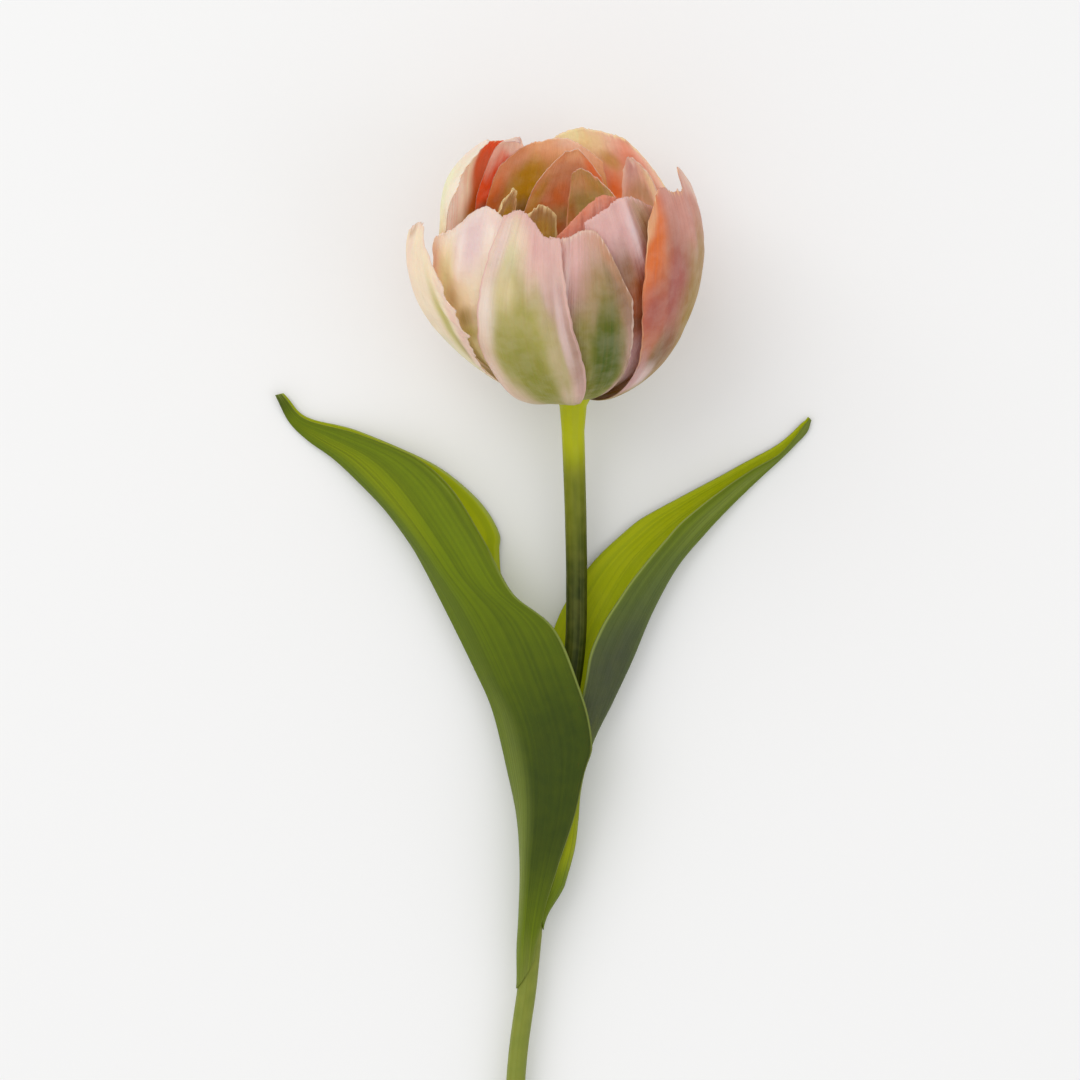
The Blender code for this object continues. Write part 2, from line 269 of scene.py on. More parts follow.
def ripple(place: Points, count: float, seed: float) -> Points:
    """An uneven wave between about -1 and 1.

    Args:
        place: shares of the way along the wave.
        count: how many crests its longest tone has.
        seed: shifts the tones against each other.

    Returns:
        The wave's height at each place.
    """
    tones = ((1.0, 1.3, 0.5), (1.73, 2.9, 0.3), (2.61, 4.7, 0.25))
    turn = 2 * math.pi * count * np.asarray(place, float)
    return sum(share * np.sin(tone * turn + phase * (1 + seed)) for tone, phase, share in tones)


def seed_of(name: str) -> float:
    """A number from 0 to 10 that differs between names and is the same each run."""
    steps = 97
    return sum((i + 3) * ord(letter) for i, letter in enumerate(name)) % steps / (steps / 10)


@dataclass(frozen=True)
class BloomForm:
    """The cup that all petals follow, and the receptacle that they are seated on.

    A petal's heading is its angle to a plane across the bloom's axis, which grows along it. The receptacle
    is heights and radii. The fields after it shape the ripples, pleats and fringe of every petal, in shares
    of its width or length. Waves are counts of crests.
    """

    tilt: float = 25.0
    foot_radius: float = 5.8
    heading_turn: float = 130.0
    heading_power: float = 0.65
    heading_length: float = 94.0
    longest: float = 100.0
    steps: int = 400
    length_power: float = 0.9
    swell: float = 0.13
    swell_reach: float = 30.0
    seat_gap: float = 0.35
    petal_thickness: float = 0.7
    receptacle: tuple[Span, ...] = (
        (-9.0, 3.3), (-4.0, 3.7), (-1.6, 4.8), (-0.4, 5.4), (1.2, 5.4), (2.6, 5.0), (3.9, 4.5), (5.2, 3.9),
        (7.8, 3.1), (10.4, 2.6), (12.4, 2.3), (14.4, 2.0), (15.4, 1.2),
    )
    free: Span = (0.15, 0.5)
    near_top: Span = (0.7, 1.0)
    near_side: Span = (0.8, 1.0)
    swell_waves: float = 1.3
    swell_slope: float = 0.3
    crease_waves: Span = (2.7, 3.4)
    crease_slopes: Span = (0.5, 0.3)
    pleat_sway: float = 0.35
    pleat_waves: float = 2.0
    pleat_fade: float = 0.15
    tooth_drift: float = 1.3
    tooth_waves: float = 2.3
    size_waves: float = 3.7
    notch_waves: float = 2.2
    notch_level: float = 0.45
    fringe_side: Span = (0.75, 1.0)
    fringe_free: Span = (0.25, 0.5)
    fringe_waves: float = 7.5
    fringe_shift: float = 0.93

    def place(self, radius: Points, azimuth: Points, height: Points) -> Points:
        """Places round the bloom's own axis.

        Args:
            radius: distances from the axis.
            azimuth: turns round it, 0 towards someone looking down and 90 towards +X.
            height: distances along it from the foot.

        Returns:
            The points in the frame, in millimetres.
        """
        tilt = math.radians(self.tilt)
        axis = np.array([0, math.cos(tilt), math.sin(tilt)])
        front = np.array([0, -math.sin(tilt), math.cos(tilt)])
        turn = np.radians(np.asarray(azimuth, float))
        aside = np.asarray(radius, float) * np.sin(turn)
        aside = aside * (1 + self.swell * smooth_share(-aside, 0, self.swell_reach))
        rise = np.asarray(radius, float) * np.cos(turn)
        height = np.asarray(height, float)
        sideways = aside[..., None] * np.array([1.0, 0, 0])
        return np.array(FOOT) + axis * height[..., None] + sideways + rise[..., None] * front

    def axis_points(self, heights: Points) -> Points:
        """Points on the bloom's axis, in millimetres."""
        return self.place(np.zeros(len(heights)), np.zeros(len(heights)), np.asarray(heights, float))

    def profile(self, petal: Petal, lengths: Points) -> tuple[Points, Points, Points]:
        """The curve that a petal follows from its foot to its top.

        Args:
            petal: the petal.
            lengths: lengths along it from its foot.

        Returns:
            Its radius, height and heading at each length.
        """
        fine = np.linspace(-self.foot_radius, self.longest, self.steps)
        grown = np.maximum(fine, 0)
        heading = self.heading_turn * (grown / self.heading_length) ** self.heading_power
        for angle, start, stretch in petal.bends:
            heading += angle * smooth_share(grown, start, start + stretch)
        turn = np.radians(heading)
        step = fine[1] - fine[0]
        radius = np.concatenate([[0], np.cumsum((np.cos(turn)[1:] + np.cos(turn)[:-1]) / 2) * step])
        height = np.concatenate([[0], np.cumsum((np.sin(turn)[1:] + np.sin(turn)[:-1]) / 2) * step])
        radius = radius - petal.depth * np.sin(turn)
        height = height + petal.depth * np.cos(turn)
        return tuple(np.interp(lengths, fine, each) for each in (radius, height, heading))

    def margins(self, petal: Petal, across: Points, length: Points) -> Points:
        """The azimuth at shares across a petal and lengths along it.

        Args:
            petal: the petal.
            across: shares from its left margin to its right one.
            length: lengths along it from its foot.

        Returns:
            The azimuths in degrees.
        """
        share = np.clip(length / max(petal.edge), 0, 1)
        left, right = (curve_value(margin, share) for margin in (petal.left, petal.right))
        return left + across * (right - left)

    def relief(self, petal: Petal, across: Points, along: Points) -> Points:
        """How far a petal's small forms stand out.

        Args:
            petal: the petal.
            across: shares from its left margin to its right one.
            along: shares from its foot to its top margin.

        Returns:
            The rise of its lip, waves, swell, creases and pleats together, in millimetres.
        """
        shape, seed = petal.relief, seed_of(petal.name)
        side = np.exp(-((across / shape.lip_width) ** 2)) + np.exp(-(((1 - across) / shape.lip_width) ** 2))
        top = np.exp(-(((1 - along) / shape.lip_width) ** 2))
        free = smooth_share(along, *self.free)
        out = shape.lip * np.maximum(side * free, top)
        near_top = smooth_share(along, *self.near_top)
        sides = smooth_share(across, *self.near_side), smooth_share(1 - across, *self.near_side)
        near_side = np.maximum(*sides) * free
        out = out + shape.wave * near_top * ripple(across, shape.waves, seed + Tone.TOP)
        out = out + shape.wave * near_side * ripple(along, shape.waves, seed + Tone.SIDE)
        swell = ripple(across + self.swell_slope * along, self.swell_waves, seed + Tone.SWELL)
        out = out + shape.swell * free * swell
        slanted = across + self.crease_slopes[0] * along, along - self.crease_slopes[1] * across
        one_way = ripple(slanted[0], self.crease_waves[0], seed + Tone.CREASE_ACROSS)
        other_way = ripple(slanted[1], self.crease_waves[1], seed + Tone.CREASE_ALONG)
        out = out + shape.crumple * free * (one_way * other_way)
        for at, width, rise, start, end in shape.pleats:
            way = at + self.pleat_sway * width * ripple(along, self.pleat_waves, seed + at)
            band = np.exp(-(((across - way) / width) ** 2))
            opening = smooth_share(along, start, start + self.pleat_fade)
            closing = 1 - smooth_share(along, end - self.pleat_fade, end)
            out = out + rise * band * (opening * closing)
        return out

    def fringe(self, petal: Petal, across: Points) -> Points:
        """How far the fringe and the notches move a petal's top margin.

        Args:
            petal: the petal.
            across: shares from its left margin to its right one.

        Returns:
            The move along the petal, in millimetres.
        """
        shape, seed = petal.relief, seed_of(petal.name)
        drift = self.tooth_drift * ripple(across, self.tooth_waves, seed)
        tooth = 1 - 2 * np.abs((across * shape.teeth + drift) % 1 - 0.5) * 2
        size = 0.5 + 0.5 * ripple(across, self.size_waves, seed + Tone.TOOTH_SIZE)
        notch = np.maximum(ripple(across, self.notch_waves, seed + Tone.NOTCH) - self.notch_level, 0)
        return shape.tooth * tooth * size - shape.notch * notch

    def side_fringe(self, petal: Petal, across: Points, along: Points) -> Points:
        """How far the fringe turns a petal's side margins.

        Args:
            petal: the petal.
            across: shares from its left margin to its right one.
            along: shares from its foot to its top margin.

        Returns:
            The turn in degrees.
        """
        near = smooth_share(np.abs(2 * across - 1), *self.fringe_side)
        near = near * smooth_share(along, *self.fringe_free)
        shift = np.where(across > 0.5, self.fringe_shift, 0.0)
        wave = ripple(along + shift, self.fringe_waves, seed_of(petal.name) + Tone.SIDE_FRINGE)
        return petal.relief.ragged * near * wave

    def surface(self, petal: Petal, across: Points, along: Points) -> Points:
        """A petal's middle surface.

        Args:
            petal: the petal.
            across: shares from its left margin to its right one.
            along: shares from its foot to its top margin.

        Returns:
            The points in millimetres.
        """
        top = curve_value(petal.edge, across) + self.fringe(petal, across)
        heights, radii = np.array(self.receptacle).T
        foot = float(np.interp(petal.depth, heights, radii)) + self.seat_gap - self.foot_radius
        length = foot + along**self.length_power * (top - foot)
        radius, height, heading = self.profile(petal, length)
        azimuth = self.margins(petal, across, length) + self.side_fringe(petal, across, along)
        bump = self.relief(petal, across, along)
        for turn_at, length_at, turn_width, length_width, rise in petal.bulges:
            near = ((azimuth - turn_at) / turn_width) ** 2 + ((length - length_at) / length_width) ** 2
            bump = bump + rise * np.exp(-near)
        turn = np.radians(heading)
        points = self.place(radius + bump * np.sin(turn), azimuth, height - bump * np.cos(turn))
        points[..., 2] = np.maximum(points[..., 2], self.petal_thickness / 2)
        return points


class Workbench:
    """Makes meshes with Blender's own tools."""

    @staticmethod
    def clear_selection() -> None:
        """Leaves nothing selected, so that an operator acts on the new piece alone."""
        bpy.ops.object.select_all(action="DESELECT")

    @classmethod
    def pick(cls, piece: Piece) -> None:
        """Selects one piece alone and makes it the active one.

        Args:
            piece: the piece.
        """
        cls.clear_selection()
        piece.select_set(True)
        bpy.context.view_layer.objects.active = piece

    @classmethod
    def grid(cls, name: str, columns: int, rows: int) -> tuple[Piece, Points, Points]:
        """A flat grid with a UV map.

        Args:
            name: the piece's name.
            columns: faces across.
            rows: faces along.

        Returns:
            The piece, and each vertex's share across and along it.
        """
        cls.clear_selection()
        bpy.ops.mesh.primitive_grid_add(x_subdivisions=columns, y_subdivisions=rows, size=1.0, calc_uvs=True)
        piece = bpy.context.active_object
        piece.name = piece.data.name = name
        flat = np.empty(len(piece.data.vertices) * 3, np.float32)
        piece.data.vertices.foreach_get("co", flat)
        flat = flat.reshape(-1, 3) + 0.5
        return piece, flat[:, 0].astype(float), flat[:, 1].astype(float)

    @staticmethod
    def settle(piece: Piece, points: Points) -> None:
        """Moves a piece's vertices to points given in millimetres."""
        piece.data.vertices.foreach_set("co", (np.asarray(points, np.float32) * MM).ravel())
        piece.data.update()

    @classmethod
    def thicken(cls, piece: Piece, thickness: float, weights: Points, across: Points, along: Points) -> None:
        """Gives a sheet its wall, thinner where the weights are low.

        No vertex goes under the floor, and the wall's corners keep the UVs of the sheet that it grew from.

        Args:
            piece: the sheet.
            thickness: the full wall in millimetres.
            weights: each vertex's share of it.
            across: each vertex's share across the sheet.
            along: each vertex's share along it.
        """
        flesh = piece.vertex_groups.new(name="flesh")
        levels = np.round(weights, 2)
        for level in np.unique(levels):
            flesh.add(np.flatnonzero(levels == level).tolist(), float(level), "REPLACE")
        wall = piece.modifiers.new("wall", "SOLIDIFY")
        wall.thickness = thickness * MM
        wall.offset = 0.0
        wall.vertex_group = flesh.name
        wall.thickness_vertex_group = 0.0
        wall.material_offset = 1
        wall.material_offset_rim = 0
        cls.pick(piece)
        bpy.ops.object.modifier_apply(modifier=wall.name)
        piece.vertex_groups.clear()
        place = np.empty(len(piece.data.vertices) * 3, np.float32)
        piece.data.vertices.foreach_get("co", place)
        place[2::3] = np.maximum(place[2::3], 0.0)
        piece.data.vertices.foreach_set("co", place)
        corner = np.empty(len(piece.data.loops), np.int32)
        piece.data.loops.foreach_get("vertex_index", corner)
        corner %= len(across)
        uvs = np.column_stack([across[corner], along[corner]])
        piece.data.uv_layers.active.data.foreach_set("uv", uvs.ravel())
        bpy.ops.object.shade_smooth()

    @classmethod
    def round_body(cls, name: str, line: Points, radii: Points, sides: int, lobes: Points) -> Piece:
        """A closed round body along a line, which may have lobes.

        Args:
            name: the piece's name.
            line: its centre line in millimetres.
            radii: its radius at each point.
            sides: how many faces go round it.
            lobes: for each point, a row of factors on the radius, one for each corner round it.

        Returns:
            The piece.
        """
        piece, across, along = cls.grid(name, sides, len(line) - 1)
        ring = np.round(along * (len(line) - 1)).astype(int)
        corner = np.round(across * sides).astype(int) % sides
        ahead = np.gradient(line, axis=0)
        ahead /= np.maximum(np.linalg.norm(ahead, axis=1), TINY)[:, None]
        first = np.zeros_like(line)
        guide = np.array([0.0, 0.0, -1.0])
        for i, way in enumerate(ahead):
            guide = guide - (guide @ way) * way
            guide /= np.linalg.norm(guide)
            first[i] = guide
        second = np.cross(ahead, first)
        turn = -2 * math.pi * corner / sides
        reach = (radii[ring] * lobes[ring, corner])[:, None]
        around = first[ring] * np.cos(turn)[:, None] + second[ring] * np.sin(turn)[:, None]
        cls.settle(piece, line[ring] + reach * around)
        cls.close_seams()
        bpy.ops.object.shade_smooth()
        return piece

    @staticmethod
    def close_seams() -> None:
        """Joins the active piece's meeting vertices, fills its open ends and turns its faces outwards."""
        bpy.ops.object.mode_set(mode="EDIT")
        bpy.ops.mesh.select_all(action="SELECT")
        bpy.ops.mesh.remove_doubles(threshold=TINY)
        bpy.ops.mesh.select_all(action="SELECT")
        bpy.ops.mesh.fill_holes(sides=0)
        bpy.ops.mesh.select_all(action="SELECT")
        bpy.ops.mesh.normals_make_consistent(inside=False)
        bpy.ops.object.mode_set(mode="OBJECT")

    @classmethod
    def turned_copy(cls, model: Piece, name: str, centre: Points, axis: Points, turn: float) -> Piece:
        """A copy with its own mesh, turned about an axis.

        Args:
            model: the piece to copy.
            name: the copy's name.
            centre: a point of the axis, in millimetres.
            axis: the axis's direction.
            turn: how far to turn it, in radians.

        Returns:
            The copy.
        """
        cls.pick(model)
        bpy.ops.object.duplicate(linked=False)
        piece = bpy.context.active_object
        piece.name = piece.data.name = name
        middle = Matrix.Translation(Vector(centre * MM))
        piece.data.transform(middle @ Matrix.Rotation(turn, 4, Vector(axis)) @ middle.inverted())
        return piece

    @staticmethod
    def dress(piece: Piece, *materials: bpy.types.Material) -> None:
        """Gives a piece its materials, in the order of its faces' numbers."""
        for material in materials:
            piece.data.materials.append(material)

    @staticmethod
    def finish(piece: Piece, node: str, slot: str) -> None:
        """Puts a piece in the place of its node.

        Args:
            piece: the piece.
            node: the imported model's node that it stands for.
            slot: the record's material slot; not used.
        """
        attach(piece, "root")
        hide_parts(node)
        LOG.info("%s: %d faces", piece.name, len(piece.data.polygons))


class NodeBench:
    """Adds and joins the nodes of one tree, laid out in rows."""

    per_row = 8
    spacing = (190, 260)

    def __init__(self, tree: bpy.types.NodeTree) -> None:
        """Works on a tree."""
        self.tree = tree
        self.count = 0

    def add(self, kind: str, **settings: str) -> bpy.types.Node:
        """A new node, beside the last one.

        Args:
            kind: the node's type.
            settings: its settings by name.

        Returns:
            The node.
        """
        node = self.tree.nodes.new(kind)
        self.count += 1
        row, column = divmod(self.count, self.per_row)
        node.location = (column * self.spacing[0], -row * self.spacing[1])
        for key, value in settings.items():
            setattr(node, key, value)
        return node

    def feed(self, socket: Socket, value: Value) -> None:
        """Joins a socket to another one, or sets its value.

        Args:
            socket: the input.
            value: an output to join it to, a colour or a number.
        """
        if isinstance(value, Socket):
            self.tree.links.new(value, socket)
        elif isinstance(value, Pigment):
            socket.default_value = value.linear()
        else:
            socket.default_value = value

    def math(self, operation: str, *values: Value) -> Socket:
        """The result of a sum.

        Args:
            operation: the kind of sum.
            values: up to three values.

        Returns:
            The result.
        """
        node = self.add("ShaderNodeMath", operation=operation)
        for socket, value in zip(node.inputs, values):
            self.feed(socket, value)
        return node.outputs[0]

    def span(self, value: Value, low: Value, high: Value) -> Socket:
        """A share that goes smoothly from 0 at low to 1 at high.

        Args:
            value: the value.
            low: where the share is 0.
            high: where the share is 1.

        Returns:
            The share.
        """
        node = self.add("ShaderNodeMapRange", interpolation_type="SMOOTHSTEP")
        for name, each in (("Value", value), ("From Min", low), ("From Max", high)):
            self.feed(node.inputs[name], each)
        return node.outputs[0]

    def blend(self, factor: Value, below: Value, above: Value) -> Socket:
        """One colour laid over another.

        Args:
            factor: how much of the upper one shows.
            below: the lower one.
            above: the upper one.

        Returns:
            The colour.
        """
        node = self.add("ShaderNodeMix", data_type="RGBA", blend_type="MIX")
        colours = [socket for socket in node.inputs if socket.type == "RGBA"]
        for socket, value in zip((node.inputs[0], *colours), (factor, below, above)):
            self.feed(socket, value)
        return next(socket for socket in node.outputs if socket.type == "RGBA")

    def noise(self, place: Value, scale: Value, detail: float) -> Socket:
        """Soft noise about one half.

        Args:
            place: where it is taken.
            scale: how fine it is.
            detail: how many finer layers it has.

        Returns:
            The noise.
        """
        node = self.add("ShaderNodeTexNoise", noise_dimensions="3D")
        for name, value in (("Vector", place), ("Scale", scale), ("Detail", detail)):
            self.feed(node.inputs[name], value)
        return node.outputs[0]

    def apart(self, vector: Socket) -> tuple[Socket, Socket]:
        """The first two numbers of a vector.

        Args:
            vector: the vector.

        Returns:
            The two numbers.
        """
        node = self.add("ShaderNodeSeparateXYZ")
        self.feed(node.inputs[0], vector)
        return node.outputs[0], node.outputs[1]

    def together(self, x: Value, y: Value, z: Value) -> Socket:
        """A vector of three numbers.

        Args:
            x: the first.
            y: the second.
            z: the third.

        Returns:
            The vector.
        """
        node = self.add("ShaderNodeCombineXYZ")
        for socket, value in zip(node.inputs, (x, y, z)):
            self.feed(socket, value)
        return node.outputs[0]

    def group(self, tree: bpy.types.NodeTree, **values: Value) -> bpy.types.Node:
        """A node group.

        Args:
            tree: the group's tree.
            values: its inputs by name, with underscores for spaces.

        Returns:
            The node.
        """
        node = self.add("ShaderNodeGroup")
        node.node_tree = tree
        for name, value in values.items():
            self.feed(node.inputs[name.replace("_", " ").capitalize()], value)
        return node


@dataclass
class GroupShelf:
    """The effects that several finishes share, each built once as a node group.

    Levels are where an effect starts in its noise, and where it is full. Counts are streaks across and
    along a blade. Drifts say how far noise moves an edge.
    """

    made: dict[str, bpy.types.NodeTree] = field(default_factory=dict)
    fine_along: float = 2.2
    fine_detail: float = 3.0
    fine_levels: Span = (0.32, 0.68)
    broad_counts: Span = (3.2, 2.6)
    broad_shift: float = 5.0
    broad_detail: float = 2.0
    broad_levels: Span = (0.3, 0.7)
    oval_drift: float = 0.35
    oval_end: float = 1.25
    margin_drift: float = 0.03
    height_detail: float = 3.0
    mottle_scale: float = 260.0
    mottle_detail: float = 2.0
    mottle_levels: Span = (0.3, 0.7)
    crinkle_scale: float = 150.0
    crinkle_detail: float = 4.0

    def _open(
        self, name: str, places: tuple[str, ...], numbers: tuple[str, ...], results: tuple[str, ...]
    ) -> tuple[NodeBench, bpy.types.NodeOutputs, bpy.types.NodeInputs]:
        """A new group with named sockets.

        Args:
            name: the group's name.
            places: the inputs that are vectors.
            numbers: the inputs that are numbers.
            results: the outputs, which are numbers.

        Returns:
            The bench, the group's inputs to take from and its outputs to feed.
        """
        tree = bpy.data.node_groups.new(name, "ShaderNodeTree")
        for label in (*places, *numbers):
            kind = "NodeSocketVector" if label in places else "NodeSocketFloat"
            tree.interface.new_socket(label, in_out="INPUT", socket_type=kind)
        for label in results:
            tree.interface.new_socket(label, in_out="OUTPUT", socket_type="NodeSocketFloat")
        self.made[name] = tree
        bench = NodeBench(tree)
        return bench, bench.add("NodeGroupInput").outputs, bench.add("NodeGroupOutput").inputs

    def streaks(self) -> bpy.types.NodeTree:
        """Fine veins and broad drifts that run along a blade.

        Returns:
            The group.
        """
        if "streaks" not in self.made:
            bench, given, result = self._open("streaks", ("Uv",), ("Veins", "Seed"), ("Fine", "Broad"))
            across, along = bench.apart(given["Uv"])
            fine_across = bench.math("MULTIPLY", across, given["Veins"])
            fine_along = bench.math("MULTIPLY", along, self.fine_along)
            broad = [bench.math("MULTIPLY", *pair) for pair in zip((across, along), self.broad_counts)]
            fine_place = bench.together(fine_across, fine_along, given["Seed"])
            broad_place = bench.together(*broad, bench.math("ADD", given["Seed"], self.broad_shift))
            fine = bench.noise(fine_place, 1.0, self.fine_detail)
            bench.feed(result["Fine"], bench.span(fine, *self.fine_levels))
            wide = bench.noise(broad_place, 1.0, self.broad_detail)
            bench.feed(result["Broad"], bench.span(wide, *self.broad_levels))
        return self.made["streaks"]

    def soft_oval(self) -> bpy.types.NodeTree:
        """A soft oval mask in shares of a blade's width and length, with an uneven edge.

        Returns:
            The group.
        """
        if "soft_oval" not in self.made:
            numbers = ("Across", "Along", "Reach across", "Reach along", "Full", "Drift")
            bench, given, result = self._open("soft_oval", ("Uv",), numbers, ("Mask",))
            squares = []
            for place, way in zip(bench.apart(given["Uv"]), ("Across", "Along")):
                off = bench.math("SUBTRACT", place, given[way])
                share = bench.math("DIVIDE", off, given[f"Reach {way.lower()}"])
                squares.append(bench.math("MULTIPLY", share, share))
            away = bench.math("SQRT", bench.math("ADD", *squares))
            drift = bench.math("SUBTRACT", given["Drift"], 0.5)
            uneven = bench.math("MULTIPLY_ADD", drift, self.oval_drift, away)
            bench.feed(result["Mask"], bench.span(uneven, self.oval_end, given["Full"]))
        return self.made["soft_oval"]

    def margin_band(self) -> bpy.types.NodeTree:
        """A band along a blade's side margins and top.

        Returns:
            The group.
        """
        if "margin_band" not in self.made:
            bench, given, result = self._open("margin_band", ("Uv",), ("Width", "Drift"), ("Mask",))
            across, along = bench.apart(given["Uv"])
            side = bench.math("MINIMUM", across, bench.math("SUBTRACT", 1.0, across))
            near = bench.math("MINIMUM", side, bench.math("SUBTRACT", 1.0, along))
            uneven = bench.math("MULTIPLY_ADD", given["Drift"], self.margin_drift, near)
            bench.feed(result["Mask"], bench.span(uneven, given["Width"], 0.0))
        return self.made["margin_band"]

    def skin(self) -> bpy.types.NodeTree:
        """The small unevenness of a plant's skin, by places in metres.

        Returns:
            The group.
        """
        if "skin" not in self.made:
            bench, given, result = self._open("skin", ("Place",), ("Scale",), ("Height", "Mottle", "Crinkle"))
            place = given["Place"]
            bench.feed(result["Height"], bench.noise(place, given["Scale"], self.height_detail))
            mottle = bench.noise(place, self.mottle_scale, self.mottle_detail)
            bench.feed(result["Mottle"], bench.span(mottle, *self.mottle_levels))
            bench.feed(result["Crinkle"], bench.noise(place, self.crinkle_scale, self.crinkle_detail))
        return self.made["skin"]


@dataclass
class Canvas:
    """A new material, with its bench, its shader, and the UV and object places."""

    material: bpy.types.Material
    bench: NodeBench
    shader: bpy.types.Node
    uv: Socket
    place: Socket

    def bump(self, height: Socket, strength: float, distance: float) -> None:
        """Joins a height to the shader's normal.

        Args:
            height: the height.
            strength: how strongly it shows.
            distance: how high it stands, in metres.
        """
        node = self.bench.add("ShaderNodeBump")
        for name, value in (("Strength", strength), ("Distance", distance), ("Height", height)):
            self.bench.feed(node.inputs[name], value)
        self.bench.feed(self.shader.inputs["Normal"], node.outputs[0])


@dataclass
class Painter:
    """Makes the materials of petals, leaves, stem and heart.

    Depths are in metres, scales are how fine a noise is, and the wet fields are the cut end's.
    """

    shelf: GroupShelf = field(default_factory=GroupShelf)
    flesh_radius: Place = (1.0, 0.55, 0.35)
    flesh_depth: float = 0.0015
    ramp_drift: float = 0.14
    skin_scale: float = 900.0
    vein_height: float = 0.7
    skin_height: float = 0.5
    blade_depth: float = 0.0002
    wet_roughness: float = 0.3
    wet_subsurface: float = 0.2
    wet_sheen: float = 0.2
    wet_bump: float = 0.4
    wet_depth: float = 0.0001
    vessel_scale: float = 1800.0
    vessel_levels: Span = (0.1, 0.4)

    def _start(self, name: str, roughness: float, subsurface: float, sheen: float) -> Canvas:
        """A material with its shader set.

        Args:
            name: the material's name.
            roughness: how rough the surface is.
            subsurface: how much light passes through the flesh.
            sheen: how strongly it reflects.

        Returns:
            The material and what it is worked on with.
        """
        material = bpy.data.materials.new(name)
        material.use_nodes = True
        shader = material.node_tree.nodes["Principled BSDF"]
        settings = {
            "Roughness": roughness, "Subsurface Weight": subsurface, "Subsurface Radius": self.flesh_radius,
            "Subsurface Scale": self.flesh_depth, "Specular IOR Level": sheen,
        }
        for label, value in settings.items():
            shader.inputs[label].default_value = value
        bench = NodeBench(material.node_tree)
        places = bench.add("ShaderNodeTexCoord").outputs
        return Canvas(material, bench, shader, places["UV"], places["Object"])

    def _ground(self, canvas: Canvas, finish: BladeFinish, broad: Socket) -> Socket:
        """The colour of a blade from its foot to its tip.

        Args:
            canvas: the material.
            finish: its colours.
            broad: the drift that moves them.

        Returns:
            The colour.
        """
        bench = canvas.bench
        _, along = bench.apart(canvas.uv)
        ramp = bench.add("ShaderNodeValToRGB")
        inner = ((finish.body_from, finish.body), (finish.body_to, finish.body))
        for at, _pigment in inner:
            ramp.color_ramp.elements.new(at)
        stops = ((0.0, finish.foot), *inner, (1.0, finish.tip))
        for element, (at, pigment) in zip(ramp.color_ramp.elements, stops):
            element.position = at
            element.color = pigment.linear()
        drift = bench.math("SUBTRACT", broad, 0.5)
        bench.feed(ramp.inputs[0], bench.math("MULTIPLY_ADD", drift, self.ramp_drift, along))
        return ramp.outputs[0]

    def _touched(self, canvas: Canvas, finish: BladeFinish, colour: Socket, broad: Socket) -> Socket:
        """Lays a finish's ovals of colour over its ground.

        Args:
            canvas: the material.
            finish: its colours.
            colour: the ground.
            broad: the drift that makes their edges uneven.

        Returns:
            The colour.
        """
        bench = canvas.bench
        for touch in finish.touches:
            oval = bench.group(
                self.shelf.soft_oval(), uv=canvas.uv, across=touch.across, along=touch.along,
                reach_across=touch.reach_across, reach_along=touch.reach_along, full=touch.full, drift=broad,
            )
            mask = bench.math("MULTIPLY", oval.outputs["Mask"], touch.strength)
            colour = bench.blend(mask, colour, touch.pigment)
        return colour

    def blade(self, name: str, finish: BladeFinish) -> bpy.types.Material:
        """One side of a petal or a leaf, or a stem.

        Args:
            name: the material's name.
            finish: its colours.

        Returns:
            The material.
        """
        canvas = self._start(name, finish.roughness, finish.subsurface, finish.sheen)
        bench, shader, uv = canvas.bench, canvas.shader, canvas.uv
        streaks = bench.group(self.shelf.streaks(), uv=uv, veins=finish.veins, seed=seed_of(name))
        fine, broad = streaks.outputs["Fine"], streaks.outputs["Broad"]
        colour = self._touched(canvas, finish, self._ground(canvas, finish, broad), broad)
        if finish.rim:
            band = bench.group(self.shelf.margin_band(), uv=uv, width=finish.rim_width, drift=fine)
            colour = bench.blend(band.outputs["Mask"], colour, finish.rim)
        skin = bench.group(self.shelf.skin(), place=canvas.place, scale=self.skin_scale)
        colour = bench.blend(bench.math("MULTIPLY", fine, finish.vein_strength), colour, finish.vein)
        pale = bench.math("MULTIPLY", skin.outputs["Mottle"], finish.mottle_strength)
        colour = bench.blend(pale, colour, finish.mottle)
        bench.feed(shader.inputs["Base Color"], colour)
        # The glow gives the colour off as light, a painted glow that lightens the surface as if lit through
        bench.feed(shader.inputs["Emission Color"], colour)
        bench.feed(shader.inputs["Emission Strength"], finish.glow)
        height = bench.math("MULTIPLY", skin.outputs["Height"], self.skin_height)
        layers = ((fine, self.vein_height), (broad, finish.folds), (skin.outputs["Crinkle"], finish.crinkle))
        for layer, rise in layers:
            height = bench.math("MULTIPLY_ADD", layer, rise, height)
        canvas.bump(height, finish.bump, self.blade_depth)
        return canvas.material

    def cut_end(self, name: str) -> bpy.types.Material:
        """The moist pith of a fresh cut, with its vessels as darker dots.

        Args:
            name: the material's name.

        Returns:
            The material.
        """
        canvas = self._start(name, self.wet_roughness, self.wet_subsurface, self.wet_sheen)
        bench = canvas.bench
        cells = bench.add("ShaderNodeTexVoronoi", feature="F1")
        bench.feed(cells.inputs["Vector"], canvas.place)
        bench.feed(cells.inputs["Scale"], self.vessel_scale)
        dots = bench.span(cells.outputs["Distance"], *self.vessel_levels)
        bench.feed(canvas.shader.inputs["Base Color"], bench.blend(dots, Pigment.MOSS, Pigment.PITH))
        canvas.bump(dots, self.wet_bump, self.wet_depth)
        return canvas.material


